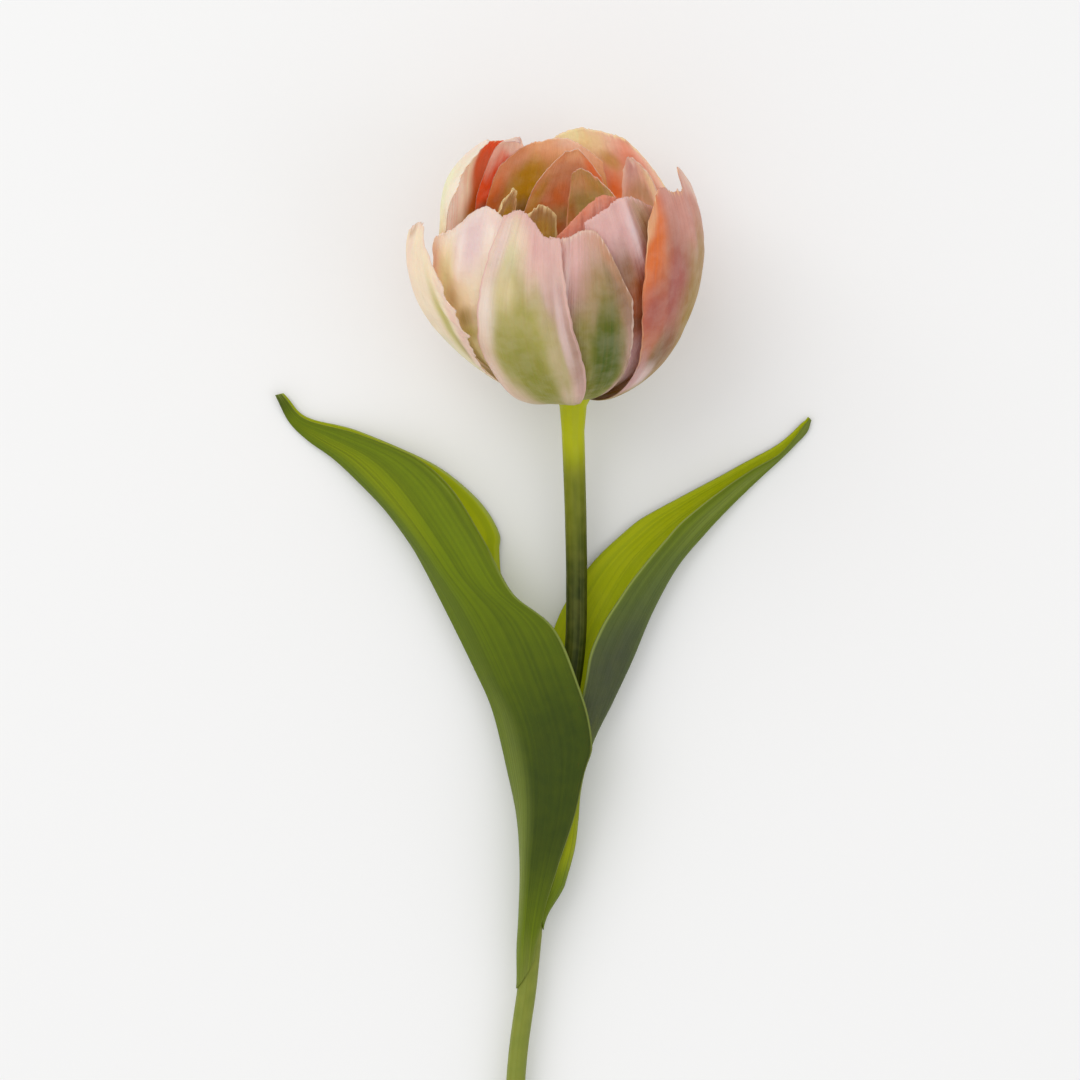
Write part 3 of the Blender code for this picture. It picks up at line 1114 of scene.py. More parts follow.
@dataclass
class Bloom:
    """The petals, in their layers, with walls that thin towards their margins."""

    painter: Painter
    form: BloomForm = field(default_factory=BloomForm)
    thin: float = 0.25
    thin_reach: float = 0.12

    def build(self, petal: Petal, slot: str) -> Piece:
        """Makes one petal and dresses both its sides.

        Args:
            petal: the petal.
            slot: the record's material slot.

        Returns:
            The piece.
        """
        piece, across, along = Workbench.grid(f"{petal.name}_fine", petal.columns, petal.rows)
        Workbench.settle(piece, self.form.surface(petal, across, along))
        outside = self.painter.blade(f"{petal.name}_outside", petal.outside or OUTSIDE)
        inside = self.painter.blade(f"{petal.name}_inside", petal.inside or INSIDE)
        Workbench.dress(piece, outside, inside)
        near = np.minimum(np.minimum(across, 1 - across), 1 - along)
        weights = self.thin + (1 - self.thin) * smooth_share(near, 0.0, self.thin_reach)
        Workbench.thicken(piece, self.form.petal_thickness, weights, across, along)
        Workbench.finish(piece, petal.name, slot)
        return piece

    def build_all(self) -> None:
        """Makes every petal."""
        for slot, layer in (("petal_outer", OUTER), ("petal_middle", MIDDLE), ("petal_inner", INNER)):
            for petal in layer:
                self.build(petal, slot)


# A painted glow on the petals' inner sides: their colour is also given off as light, standing in for light that
# comes through the petals
GLOW = 0.3
OUTSIDE = BladeFinish(
    Pigment.SPRING, Pigment.BLUSH, Pigment.PINK, rim=Pigment.BLUSH,
    touches=(
        Touch(Pigment.CREAM, 0.3, 0.85, 0.25, 0.18, 0.6), Touch(Pigment.MAUVE, 0.8, 0.72, 0.2, 0.25, 0.6),
        Touch(Pigment.SPRING, 0.5, 0.4, 0.3, 0.32, 0.8), Touch(Pigment.MOSS, 0.5, 0.18, 0.28, 0.2, 0.8),
    ),
)
INSIDE = BladeFinish(
    Pigment.SHADE, Pigment.RUST, Pigment.SALMON, glow=0.2, vein=Pigment.SHADE, vein_strength=0.2,
    touches=(
        Touch(Pigment.ORANGE, 0.2, 0.7, 0.3, 0.25, 0.6), Touch(Pigment.TAN, 0.75, 0.62, 0.3, 0.25, 0.6),
        Touch(Pigment.GOLD, 0.5, 0.35, 0.35, 0.35, 0.8), Touch(Pigment.BLUSH, 0.5, 0.97, 0.4, 0.1, 0.4),
    ),
)
SMALL = BladeFinish(
    Pigment.SHADE, Pigment.OLIVE, Pigment.TAN, glow=GLOW, rim=Pigment.BUTTER, rim_width=0.06,
    vein=Pigment.RUST, vein_strength=0.225, veins=20.0,
    touches=(Touch(Pigment.GOLD, 0.4, 0.85, 0.3, 0.1, 0.8),),
)
FLAP = Relief(lip=0.45, lip_width=0.2, wave=0.5, waves=2.6, tooth=0.3, teeth=5, notch=1.6, crumple=0.45)

OUTER = (
    Petal(
        "petal_outer_front_left", (-44, -48, -41, -33), (6, 7, -2, -8), (74, 76, 74, 70, 70), 0.0,
        bulges=((-48, 13, 16, 9, 2.0), (-1, 48, 5, 22, 0.9)),
        relief=Relief(
            lip=0.3, swell=0.3,
            pleats=(
                (0.88, 0.035, 0.55, 0.35, 0.9), (0.3, 0.05, -0.4, 0.5, 1.2), (0.62, 0.05, -0.3, 0.6, 1.2),
            ),
        ),
        outside=BladeFinish(
            Pigment.MOSS, Pigment.BLUSH, Pigment.PINK, rim=Pigment.PINK, rim_width=0.05,
            body_from=0.3, body_to=0.75, vein=Pigment.TAN,
            touches=(
                Touch(Pigment.CREAM, 0.28, 0.87, 0.3, 0.16, 0.85),
                Touch(Pigment.CELERY, 0.3, 0.8, 0.12, 0.1, 0.5),
                Touch(Pigment.PINK, 0.8, 0.93, 0.2, 0.1, 0.7),
                Touch(Pigment.MAUVE, 0.85, 0.72, 0.24, 0.22, 0.75),
                Touch(Pigment.SPRING, 0.46, 0.42, 0.44, 0.44, 1.0, 0.4),
                Touch(Pigment.MOSS, 0.5, 0.25, 0.34, 0.28, 0.9, 0.3),
                Touch(Pigment.BLUSH, 0.03, 0.35, 0.14, 0.4, 0.8),
                Touch(Pigment.MAUVE, 0.96, 0.35, 0.12, 0.42, 0.8),
                Touch(Pigment.IVORY, 0.06, 0.6, 0.15, 0.16, 0.8),
                Touch(Pigment.UMBER, 0.97, 0.5, 0.12, 0.25, 0.45),
                Touch(Pigment.BUTTER, 0.3, 0.68, 0.14, 0.1, 0.6),
                Touch(Pigment.LILAC, 0.88, 0.62, 0.05, 0.24, 0.7),
                Touch(Pigment.LILAC, 0.12, 0.86, 0.1, 0.14, 0.6),
            ),
        ),
    ),
    Petal(
        "petal_outer_front_right", (-16, -18, -16, -12), (26, 31, 28, 22), (70, 70, 72, 69, 52), 1.3,
        relief=Relief(
            pleats=((0.24, 0.04, 0.5, 0.5, 1.0), (0.6, 0.06, -0.35, 0.5, 1.1), (0.9, 0.04, 0.3, 0.3, 0.9)),
        ),
        outside=BladeFinish(
            Pigment.MOSS, Pigment.MAUVE, Pigment.PINK, rim=Pigment.BLUSH, rim_width=0.04,
            body_from=0.4, body_to=0.7, vein=Pigment.OLIVE, vein_strength=0.15,
            touches=(
                Touch(Pigment.TAN, 0.68, 0.72, 0.4, 0.26, 0.9),
                Touch(Pigment.MOSS, 0.68, 0.32, 0.5, 0.46, 0.9, 0.4),
                Touch(Pigment.GRASS, 0.74, 0.47, 0.24, 0.33, 1.0, 0.35),
                Touch(Pigment.UMBER, 0.92, 0.86, 0.2, 0.2, 0.7),
                Touch(Pigment.PINK, 0.32, 0.92, 0.3, 0.12, 0.7),
                Touch(Pigment.LILAC, 0.26, 0.8, 0.06, 0.18, 0.7),
                Touch(Pigment.MAUVE, 0.98, 0.2, 0.08, 0.3, 0.8),
                Touch(Pigment.SALMON, 0.8, 0.97, 0.4, 0.08, 0.5),
                Touch(Pigment.UMBER, 0.95, 0.95, 0.12, 0.08, 0.5),
            ),
        ),
    ),
    Petal(
        "petal_outer_right", (39, 36, 31, 42), (92, 100, 98, 88), (72, 78, 79, 77, 76, 75.5, 81, 75, 66),
        0.0,
        bulges=((90, 25, 12, 13, -1.4),),
        relief=Relief(
            lip=0.35, swell=0.3,
            pleats=(
                (0.68, 0.05, -0.5, 0.6, 1.1), (0.16, 0.05, 0.45, 0.3, 0.95), (0.42, 0.06, -0.35, 0.3, 0.9),
            ),
        ),
        outside=BladeFinish(
            Pigment.MOSS, Pigment.TAN, Pigment.ROSE, rim=Pigment.APRICOT, rim_width=0.03, vein=Pigment.PLUM,
            vein_strength=0.15,
            touches=(
                Touch(Pigment.ROSE, 0.55, 0.9, 0.5, 0.2, 0.9),
                Touch(Pigment.TAN, 0.52, 0.66, 0.26, 0.14, 0.9),
                Touch(Pigment.PLUM, 0.3, 0.62, 0.24, 0.28, 1.0, 0.3),
                Touch(Pigment.OLIVE, 0.55, 0.5, 0.3, 0.2, 0.8),
                Touch(Pigment.SHADE, 0.22, 0.36, 0.26, 0.14, 0.6),
                Touch(Pigment.ORANGE, 0.05, 0.8, 0.2, 0.36, 1.0, 0.35),
                Touch(Pigment.PLUM, 0.1, 0.6, 0.16, 0.16, 0.9),
                Touch(Pigment.LILAC, 0.1, 0.25, 0.2, 0.1, 0.9),
                Touch(Pigment.MAUVE, 0.03, 0.26, 0.07, 0.2, 0.9),
                Touch(Pigment.BLUSH, 0.82, 0.96, 0.14, 0.08, 0.8),
                Touch(Pigment.APRICOT, 0.03, 0.95, 0.1, 0.08, 0.7),
            ),
        ),
    ),
    Petal("petal_outer_back_right", (102, 102, 100, 104), (150, 154, 152, 142), (50, 58, 62, 64, 59), 1.3),
    Petal("petal_outer_back", (156, 152, 152, 160), (204, 208, 208, 200), (62, 70, 74, 70, 62), 0.0),
    Petal("petal_outer_back_left", (206, 202, 204, 212), (248, 250, 250, 246), (57, 60, 59, 55, 50), 1.3),
    Petal(
        "petal_outer_left", (260, 248, 246, 252), (294, 306, 316, 298), (54, 59, 65, 67, 57), 0.0,
        bends=((-14, 10, 35), (21, 40, 25)),
        relief=Relief(
            lip=0.45, wave=0.3, waves=6.0, tooth=0.7, teeth=15, notch=0.9, ragged=1.6,
            pleats=((0.86, 0.05, -0.5, 0.3, 0.9), (0.6, 0.06, 0.35, 0.4, 1.0)),
        ),
        outside=BladeFinish(
            Pigment.LIME, Pigment.CREAM, Pigment.CREAM, rim=Pigment.BLUSH, rim_width=0.06,
            vein=Pigment.SALMON, vein_strength=0.075,
            touches=(
                Touch(Pigment.BLUSH, 0.5, 0.85, 0.14, 0.3, 0.6),
                Touch(Pigment.LIME, 0.86, 0.66, 0.06, 0.26, 0.9),
                Touch(Pigment.OLIVE, 0.9, 0.52, 0.05, 0.12, 0.6),
                Touch(Pigment.PINK, 0.97, 0.72, 0.05, 0.3, 0.7),
                Touch(Pigment.TAN, 0.5, 0.99, 0.12, 0.05, 0.7),
                Touch(Pigment.CELERY, 0.6, 0.4, 0.3, 0.15, 0.6),
            ),
        ),
        inside=BladeFinish(
            Pigment.OLIVE, Pigment.CREAM, Pigment.CREAM, glow=GLOW, rim=Pigment.IVORY, rim_width=0.08,
            vein=Pigment.TAN,
            touches=(
                Touch(Pigment.LIME, 0.8, 0.5, 0.15, 0.35, 0.8),
                Touch(Pigment.OLIVE, 0.7, 0.3, 0.3, 0.25, 0.8),
            ),
        ),
    ),
)

MIDDLE = (
    Petal(
        "petal_middle_left", (-82, -90, -88, -84), (-38, -34, -32, -34), (58, 63, 68, 75, 73), 1.5,
        relief=Relief(
            lip=0.25, swell=0.25, pleats=((0.62, 0.07, 0.6, 0.6, 1.2), (0.4, 0.05, -0.45, 0.6, 1.2)),
        ),
        outside=BladeFinish(
            Pigment.LIME, Pigment.CREAM, Pigment.IVORY, rim=Pigment.BLUSH, rim_width=0.05,
            vein=Pigment.BLUSH,
            touches=(
                Touch(Pigment.PINK, 0.12, 0.86, 0.16, 0.16, 0.8),
                Touch(Pigment.CELERY, 0.4, 0.78, 0.16, 0.16, 0.7),
                Touch(Pigment.LILAC, 0.68, 0.88, 0.2, 0.2, 1.0),
                # The narrow ivory stripe along the raised pleat is a painted highlight
                Touch(Pigment.IVORY, 0.6, 0.82, 0.06, 0.14, 0.7),
                Touch(Pigment.CELERY, 0.62, 0.4, 0.3, 0.2, 0.7),
                Touch(Pigment.TAN, 0.46, 0.66, 0.16, 0.1, 0.6),
                Touch(Pigment.OLIVE, 0.62, 0.55, 0.18, 0.07, 0.7, 0.3),
                Touch(Pigment.LIME, 0.64, 0.48, 0.2, 0.05, 0.8),
                Touch(Pigment.PINK, 0.9, 0.97, 0.15, 0.05, 0.5),
            ),
        ),
    ),
    Petal(
        "petal_middle_right", (20, 14, 10, 4), (70, 72, 66, 50), (74, 77, 79.5, 78, 71), 2.6,
        bulges=((29, 75, 3, 14, 0.9),),
        relief=Relief(lip=0.25, pleats=((0.5, 0.045, 0.7, 0.6, 1.2), (0.72, 0.07, -0.5, 0.6, 1.2))),
        outside=BladeFinish(
            Pigment.MOSS, Pigment.MAUVE, Pigment.PINK, rim=Pigment.PINK, rim_width=0.04,
            touches=(
                Touch(Pigment.TAN, 0.72, 0.8, 0.22, 0.3, 1.0),
                Touch(Pigment.OLIVE, 0.64, 0.72, 0.12, 0.14, 0.7),
                Touch(Pigment.LILAC, 0.48, 0.88, 0.06, 0.16, 0.9),
                # The rust, shade and darker tan touches are partly the petal's own colour and partly painted
                # shade in the gap between the outer petals
                Touch(Pigment.RUST, 0.38, 0.6, 0.24, 0.2, 1.0, 0.5),
                Touch(Pigment.SHADE, 0.4, 0.52, 0.2, 0.05, 0.5),
                Touch(Pigment.UMBER, 0.3, 0.75, 0.16, 0.12, 0.8),
                Touch(Pigment.MAUVE, 0.42, 0.36, 0.24, 0.12, 0.8),
                Touch(Pigment.LILAC, 0.5, 0.26, 0.2, 0.1, 0.9),
                Touch(Pigment.PINK, 0.25, 0.95, 0.3, 0.06, 0.7),
            ),
        ),
    ),
    Petal(
        "petal_middle_back_left", (-122, -134, -142, -142), (-76, -72, -75, -65), (79, 84, 89, 86, 76), 2.7,
        bends=((-10, 56, 10), (30, 66, 22)),
        outside=BladeFinish(
            Pigment.LIME, Pigment.CREAM, Pigment.IVORY, rim=Pigment.APRICOT, rim_width=0.025,
            vein=Pigment.CELERY, vein_strength=0.15,
            touches=(
                Touch(Pigment.CELERY, 0.75, 0.8, 0.2, 0.22, 0.9),
                Touch(Pigment.BLUSH, 0.6, 0.95, 0.3, 0.06, 0.6),
                Touch(Pigment.LIME, 0.8, 0.62, 0.2, 0.1, 0.35),
            ),
        ),
        inside=BladeFinish(
            Pigment.SHADE, Pigment.RUST, Pigment.FLAME_RED, glow=GLOW, body_from=0.45, body_to=0.72,
            vein=Pigment.RUST,
            vein_strength=0.175, rim=Pigment.APRICOT, rim_width=0.02, mottle=Pigment.ORANGE,
            touches=(
                Touch(Pigment.CORAL, 0.13, 0.86, 0.14, 0.12, 0.6),
                Touch(Pigment.OLIVE, 0.2, 0.63, 0.4, 0.06, 0.8),
                Touch(Pigment.CREAM, 0.76, 0.82, 0.52, 0.36, 1.0, 0.95),
                Touch(Pigment.BLUSH, 0.34, 0.92, 0.06, 0.1, 0.6),
                # The ivory touch is painted light, lifting the cream low down where the front petals shade it
                Touch(Pigment.IVORY, 0.62, 0.7, 0.34, 0.24, 0.9, 0.6),
            ),
        ),
    ),
    Petal(
        "petal_middle_back_right", (122, 116, 118, 130), (180, 188, 190, 196), (62, 78, 81, 81.5, 77), 2.6,
        outside=BladeFinish(
            Pigment.LIME, Pigment.BLUSH, Pigment.BUTTER, rim=Pigment.APRICOT, rim_width=0.03,
            touches=(
                Touch(Pigment.BUTTER, 0.7, 0.85, 0.35, 0.18, 0.9),
                Touch(Pigment.SALMON, 0.2, 0.8, 0.2, 0.2, 0.8),
            ),
        ),
        inside=BladeFinish(
            Pigment.RUST, Pigment.SALMON, Pigment.BLUSH, glow=GLOW, rim=Pigment.BUTTER, rim_width=0.03,
            vein=Pigment.SALMON,
            touches=(
                Touch(Pigment.BUTTER, 0.72, 0.94, 0.28, 0.1, 1.0),
                Touch(Pigment.CELERY, 0.8, 0.98, 0.15, 0.05, 0.7),
                Touch(Pigment.CORAL, 0.3, 0.88, 0.2, 0.14, 0.8),
                Touch(Pigment.ORANGE, 0.52, 0.72, 0.14, 0.12, 1.0),
                Touch(Pigment.GOLD, 0.5, 0.86, 0.1, 0.05, 0.7),
            ),
        ),
    ),
    Petal("petal_middle_front", (-22, -26, -24, -18), (22, 26, 24, 18), (58, 62, 64, 62, 56), 3.9),
    Petal(
        "petal_middle_folded", (196, 194, 202, 215), (228, 234, 232, 231), (76, 85, 90, 91, 86), 3.9,
        bends=((60, 79, 12),),
        outside=BladeFinish(Pigment.LIME, Pigment.CREAM, Pigment.BLUSH, rim=Pigment.PINK),
        inside=BladeFinish(
            Pigment.RUST, Pigment.FLAME_RED, Pigment.BLUSH, glow=GLOW, body_from=0.5, body_to=0.76,
            vein=Pigment.RUST, vein_strength=0.075,
            touches=(
                Touch(Pigment.ORANGE, 0.3, 0.7, 0.3, 0.15, 0.6),
                Touch(Pigment.SHADE, 0.9, 0.62, 0.3, 0.05, 0.7),
                Touch(Pigment.BLUSH, 0.45, 0.97, 0.5, 0.13, 1.0, 0.8),
                Touch(Pigment.IVORY, 0.4, 0.95, 0.3, 0.05, 0.6),
                Touch(Pigment.ORANGE, 0.2, 0.83, 0.2, 0.04, 0.6),
            ),
        ),
    ),
    Petal("petal_middle_side", (66, 62, 66, 72), (112, 122, 122, 112), (66, 70, 72, 70, 64), 3.9),
)

INNER = (
    Petal(
        "petal_inner_back", (170, 162, 160, 164), (220, 226, 228, 224), (72, 79, 81, 79.5, 73), 5.2,
        relief=Relief(pleats=((0.6, 0.06, -0.5, 0.5, 1.1), (0.82, 0.05, 0.5, 0.5, 1.1))),
        inside=BladeFinish(
            Pigment.SHADE, Pigment.GOLD, Pigment.SALMON, glow=GLOW, body_from=0.5, body_to=0.74,
            vein=Pigment.RUST, vein_strength=0.1,
            touches=(
                Touch(Pigment.APRICOT, 0.4, 0.96, 0.5, 0.1, 0.9),
                Touch(Pigment.BLUSH, 0.3, 0.98, 0.3, 0.05, 0.7),
                Touch(Pigment.GOLD, 0.7, 0.8, 0.2, 0.14, 1.0),
                Touch(Pigment.ORANGE, 0.94, 0.84, 0.1, 0.16, 0.9),
                Touch(Pigment.SHADE, 0.75, 0.67, 0.34, 0.08, 0.8),
                Touch(Pigment.RUST, 0.92, 0.78, 0.12, 0.12, 0.7),
            ),
        ),
    ),
    Petal(
        "petal_inner_centre", (168, 150, 148, 150), (206, 218, 222, 216), (72, 84, 84, 83, 70), 7.8,
        bends=((10, 0, 12),),
        relief=Relief(pleats=((0.45, 0.1, 0.35, 0.4, 1.2), (0.75, 0.06, -0.35, 0.4, 1.2))),
        inside=BladeFinish(
            Pigment.SHADE, Pigment.RUST, Pigment.SALMON, glow=GLOW, body_from=0.45, body_to=0.65,
            vein=Pigment.RUST, vein_strength=0.125,
            touches=(
                Touch(Pigment.SALMON, 0.5, 0.88, 0.45, 0.14, 0.9),
                Touch(Pigment.APRICOT, 0.4, 0.96, 0.3, 0.06, 0.8),
                Touch(Pigment.ORANGE, 0.1, 0.94, 0.16, 0.1, 0.9),
                Touch(Pigment.ORANGE, 0.6, 0.72, 0.25, 0.1, 0.5),
                Touch(Pigment.GOLD, 0.92, 0.84, 0.14, 0.14, 0.8),
                # The olive band low on the petal is painted shade at the floor of the cup
                Touch(Pigment.OLIVE, 0.5, 0.64, 0.7, 0.07, 0.6),
            ),
        ),
    ),
    Petal(
        "petal_inner_front_right", (-2, -10, -12, -8), (46, 50, 46, 40), (70, 77, 81, 80, 77), 5.2,
        relief=Relief(lip=0.3, wave=0.2),
        outside=BladeFinish(Pigment.MOSS, Pigment.PINK, Pigment.CORAL, rim=Pigment.CORAL, rim_width=0.08),
        inside=BladeFinish(
            Pigment.OLIVE, Pigment.SALMON, Pigment.CORAL, glow=GLOW, rim=Pigment.CORAL, vein=Pigment.RUST,
        ),
    ),
    Petal("petal_inner_right", (72, 68, 72, 80), (108, 116, 118, 112), (58, 64, 66, 64, 58), 5.2),
    Petal("petal_inner_front_left", (-62, -70, -66, -58), (-22, -18, -20, -26), (52, 60, 62, 60, 52), 5.2),
    Petal("petal_inner_left", (-122, -124, -122, -116), (-84, -80, -80, -86), (50, 54, 56, 54, 50), 4.0),
    Petal(
        "petal_inner_curled", (128, 128, 126, 128), (152, 156, 154, 148), (66, 76, 79, 78, 70), 5.2,
        bends=((40, 66, 25),),
        relief=Relief(pleats=((0.5, 0.06, 0.3, 0.6, 1.2),)),
        inside=BladeFinish(
            Pigment.RUST, Pigment.SALMON, Pigment.BLUSH, glow=GLOW, vein=Pigment.MAUVE,
            touches=(
                Touch(Pigment.TAN, 0.4, 0.8, 0.5, 0.08, 0.7),
                Touch(Pigment.BUTTER, 0.15, 0.94, 0.16, 0.08, 0.6),
                Touch(Pigment.MAUVE, 0.7, 0.92, 0.3, 0.12, 0.7),
                Touch(Pigment.IVORY, 0.6, 0.97, 0.12, 0.05, 0.6),
            ),
        ),
    ),
    Petal(
        "petal_inner_low", (112, 106, 112, 124), (160, 178, 186, 182), (64, 72, 77, 79, 76), 10.4,
        bends=((10, 0, 12),),
        inside=BladeFinish(
            Pigment.SHADE, Pigment.OLIVE, Pigment.TAN, glow=GLOW, vein=Pigment.LIME, vein_strength=0.2,
            veins=24.0,
            rim=Pigment.SALMON, rim_width=0.04,
            touches=(
                Touch(Pigment.GOLD, 0.6, 0.92, 0.4, 0.1, 0.5),
                Touch(Pigment.ORANGE, 0.06, 0.9, 0.16, 0.2, 0.9),
                Touch(Pigment.SALMON, 0.8, 0.92, 0.4, 0.1, 0.7),
                Touch(Pigment.RUST, 0.96, 0.72, 0.14, 0.14, 0.8),
            ),
        ),
    ),
    Petal(
        "petaloid_left", (-112, -119, -127, -131), (-92, -90, -93, -98), (66, 70.5, 72.5, 70, 65), 11.6,
        bends=((4, 0, 12),), relief=FLAP, outside=SMALL, inside=SMALL,
        columns=40, rows=60,
    ),
    Petal(
        "petaloid_back", (194, 192, 194, 198), (232, 236, 238, 236), (58, 62, 63.5, 63, 59), 11.6,
        bends=((10, 0, 12),), relief=FLAP, outside=SMALL, inside=SMALL,
        columns=48, rows=60,
    ),
    Petal(
        "petaloid_front_left", (-44, -46, -44, -40), (-20, -16, -18, -24), (48, 54, 56, 53, 48), 11.6,
        bends=((10, 0, 12),), relief=FLAP, outside=SMALL, inside=SMALL,
        columns=36, rows=48,
    ),
    Petal(
        "petaloid_front_right", (20, 18, 20, 26), (46, 50, 48, 42), (50, 54, 57, 56, 49), 11.6,
        bends=((12, 0, 12),), relief=FLAP, outside=SMALL, inside=SMALL,
        columns=36, rows=48,
    ),
    Petal(
        "petaloid_right", (72, 70, 72, 76), (96, 98, 96, 92), (50, 56, 58, 54, 50), 11.6,
        bends=((8, 0, 12),), relief=FLAP, outside=SMALL, inside=SMALL,
        columns=36, rows=48,
    ),
)

# On the leaves' outer sides the pale touch low on the blade is a painted highlight, and the blue touch is
# partly the leaf's waxy bloom and partly a painted sheen
OUTER_LEAF = BladeFinish(
    Pigment.STEM_LOW, Pigment.LEAF_MID, Pigment.LEAF_MID, body_from=0.12, rim=Pigment.LEAF_PALE,
    rim_width=0.03,
    touches=(
        Touch(Pigment.LEAF_BLUE, 0.62, 0.62, 0.14, 0.25, 0.5),
        Touch(Pigment.LEAF_DEEP, 0.88, 0.3, 0.34, 0.27, 0.85, 0.35),
        Touch(Pigment.LEAF_DEEP, 0.1, 0.38, 0.3, 0.22, 0.7),
        Touch(Pigment.LEAF_DEEP, 0.5, 0.99, 0.6, 0.04, 0.6),
        Touch(Pigment.LEAF_INNER, 0.75, 0.75, 0.1, 0.2, 0.35),
        Touch(Pigment.LEAF_PALE, 0.62, 0.18, 0.12, 0.26, 0.6),
    ),
    vein=Pigment.LEAF_DEEP, vein_strength=0.35, veins=60.0, mottle=Pigment.LEAF_INNER, mottle_strength=0.03,
    roughness=0.5, subsurface=0.05, sheen=0.1, glow=0.02, bump=0.6, folds=1.0, crinkle=1.5,
)
# The leaves' inner sides glow, a painted glow that lightens them
INNER_LEAF = BladeFinish(
    Pigment.LEAF_INNER, Pigment.LEAF_INNER, Pigment.LEAF_INNER, rim=Pigment.LEAF_PALE, rim_width=0.03,
    vein=Pigment.LEAF_MID, vein_strength=0.4, veins=60.0, mottle=Pigment.LIME, mottle_strength=0.04,
    roughness=0.5, subsurface=0.05, sheen=0.08, glow=0.26, bump=0.4, folds=1.0, crinkle=1.5,
)
# The right leaf's pale touches are painted highlights along its raised near margin, its blue-grey touch is
# painted shade, and its blue touch is partly waxy bloom and partly a painted sheen
RIGHT_OUTER_LEAF = replace(
    OUTER_LEAF,
    touches=(
        Touch(Pigment.LEAF_PALE, 0.15, 0.75, 0.12, 0.2, 0.4),
        Touch(Pigment.LEAF_BLUE, 0.25, 0.45, 0.4, 0.22, 1.0, 0.4),
        Touch(Pigment.SHADE_BLUE, 0.15, 0.4, 0.3, 0.14, 1.0, 0.3),
        Touch(Pigment.LEAF_INNER, 0.3, 0.14, 0.3, 0.2, 0.9, 0.4),
        Touch(Pigment.LEAF_MID, 0.3, 0.02, 0.5, 0.1, 1.0, 0.5),
        Touch(Pigment.LEAF_PALE, 0.2, 0.95, 0.4, 0.08, 0.5),
    ),
)
STEM_SKIN = BladeFinish(
    Pigment.STEM_LOW, Pigment.STEM_MID, Pigment.STEM_TOP, body_from=0.5, body_to=0.74,
    touches=(
        Touch(Pigment.STEM_TOP, 0.5, 0.95, 0.9, 0.14, 1.0, 0.6),
        # A band of painted shadow, where the leaves shade the stem
        Touch(Pigment.STEM_DARK, 0.5, 0.6, 0.9, 0.14, 1.0, 0.4),
    ),
    vein=Pigment.LEAF_PALE, vein_strength=0.15, veins=26.0, mottle=Pigment.LIME, mottle_strength=0.08,
    roughness=0.45, subsurface=0.1, sheen=0.12, glow=0.06, bump=0.4, folds=0.5, crinkle=0.5,
)
PISTIL_SKIN = BladeFinish(
    Pigment.SPRING, Pigment.LIME, Pigment.CREAM, body_from=0.3, body_to=0.75,
    vein=Pigment.MOSS, vein_strength=0.3, veins=18.0, roughness=0.5, subsurface=0.2, bump=0.5,
)
STAMEN_SKIN = BladeFinish(
    Pigment.LIME, Pigment.POLLEN, Pigment.GOLD, body_from=0.5, body_to=0.9,
    vein=Pigment.SHADE, vein_strength=0.4, veins=9.0, roughness=0.8, subsurface=0.05, bump=1.0,
)


@dataclass(frozen=True)
class Leaf:
    """A trough-shaped leaf by its keel and its two margins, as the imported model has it.

    Its section is round up to the first share of its length in rounded, and folded from the second.
    """

    name: str
    keel: tuple[Place, ...]
    near: tuple[Place, ...]
    far: tuple[Place, ...]
    rounded: Span
    trough_left: bool
    outside: BladeFinish = OUTER_LEAF
    inside: BladeFinish = INNER_LEAF
    columns: int = 56
    rows: int = 220


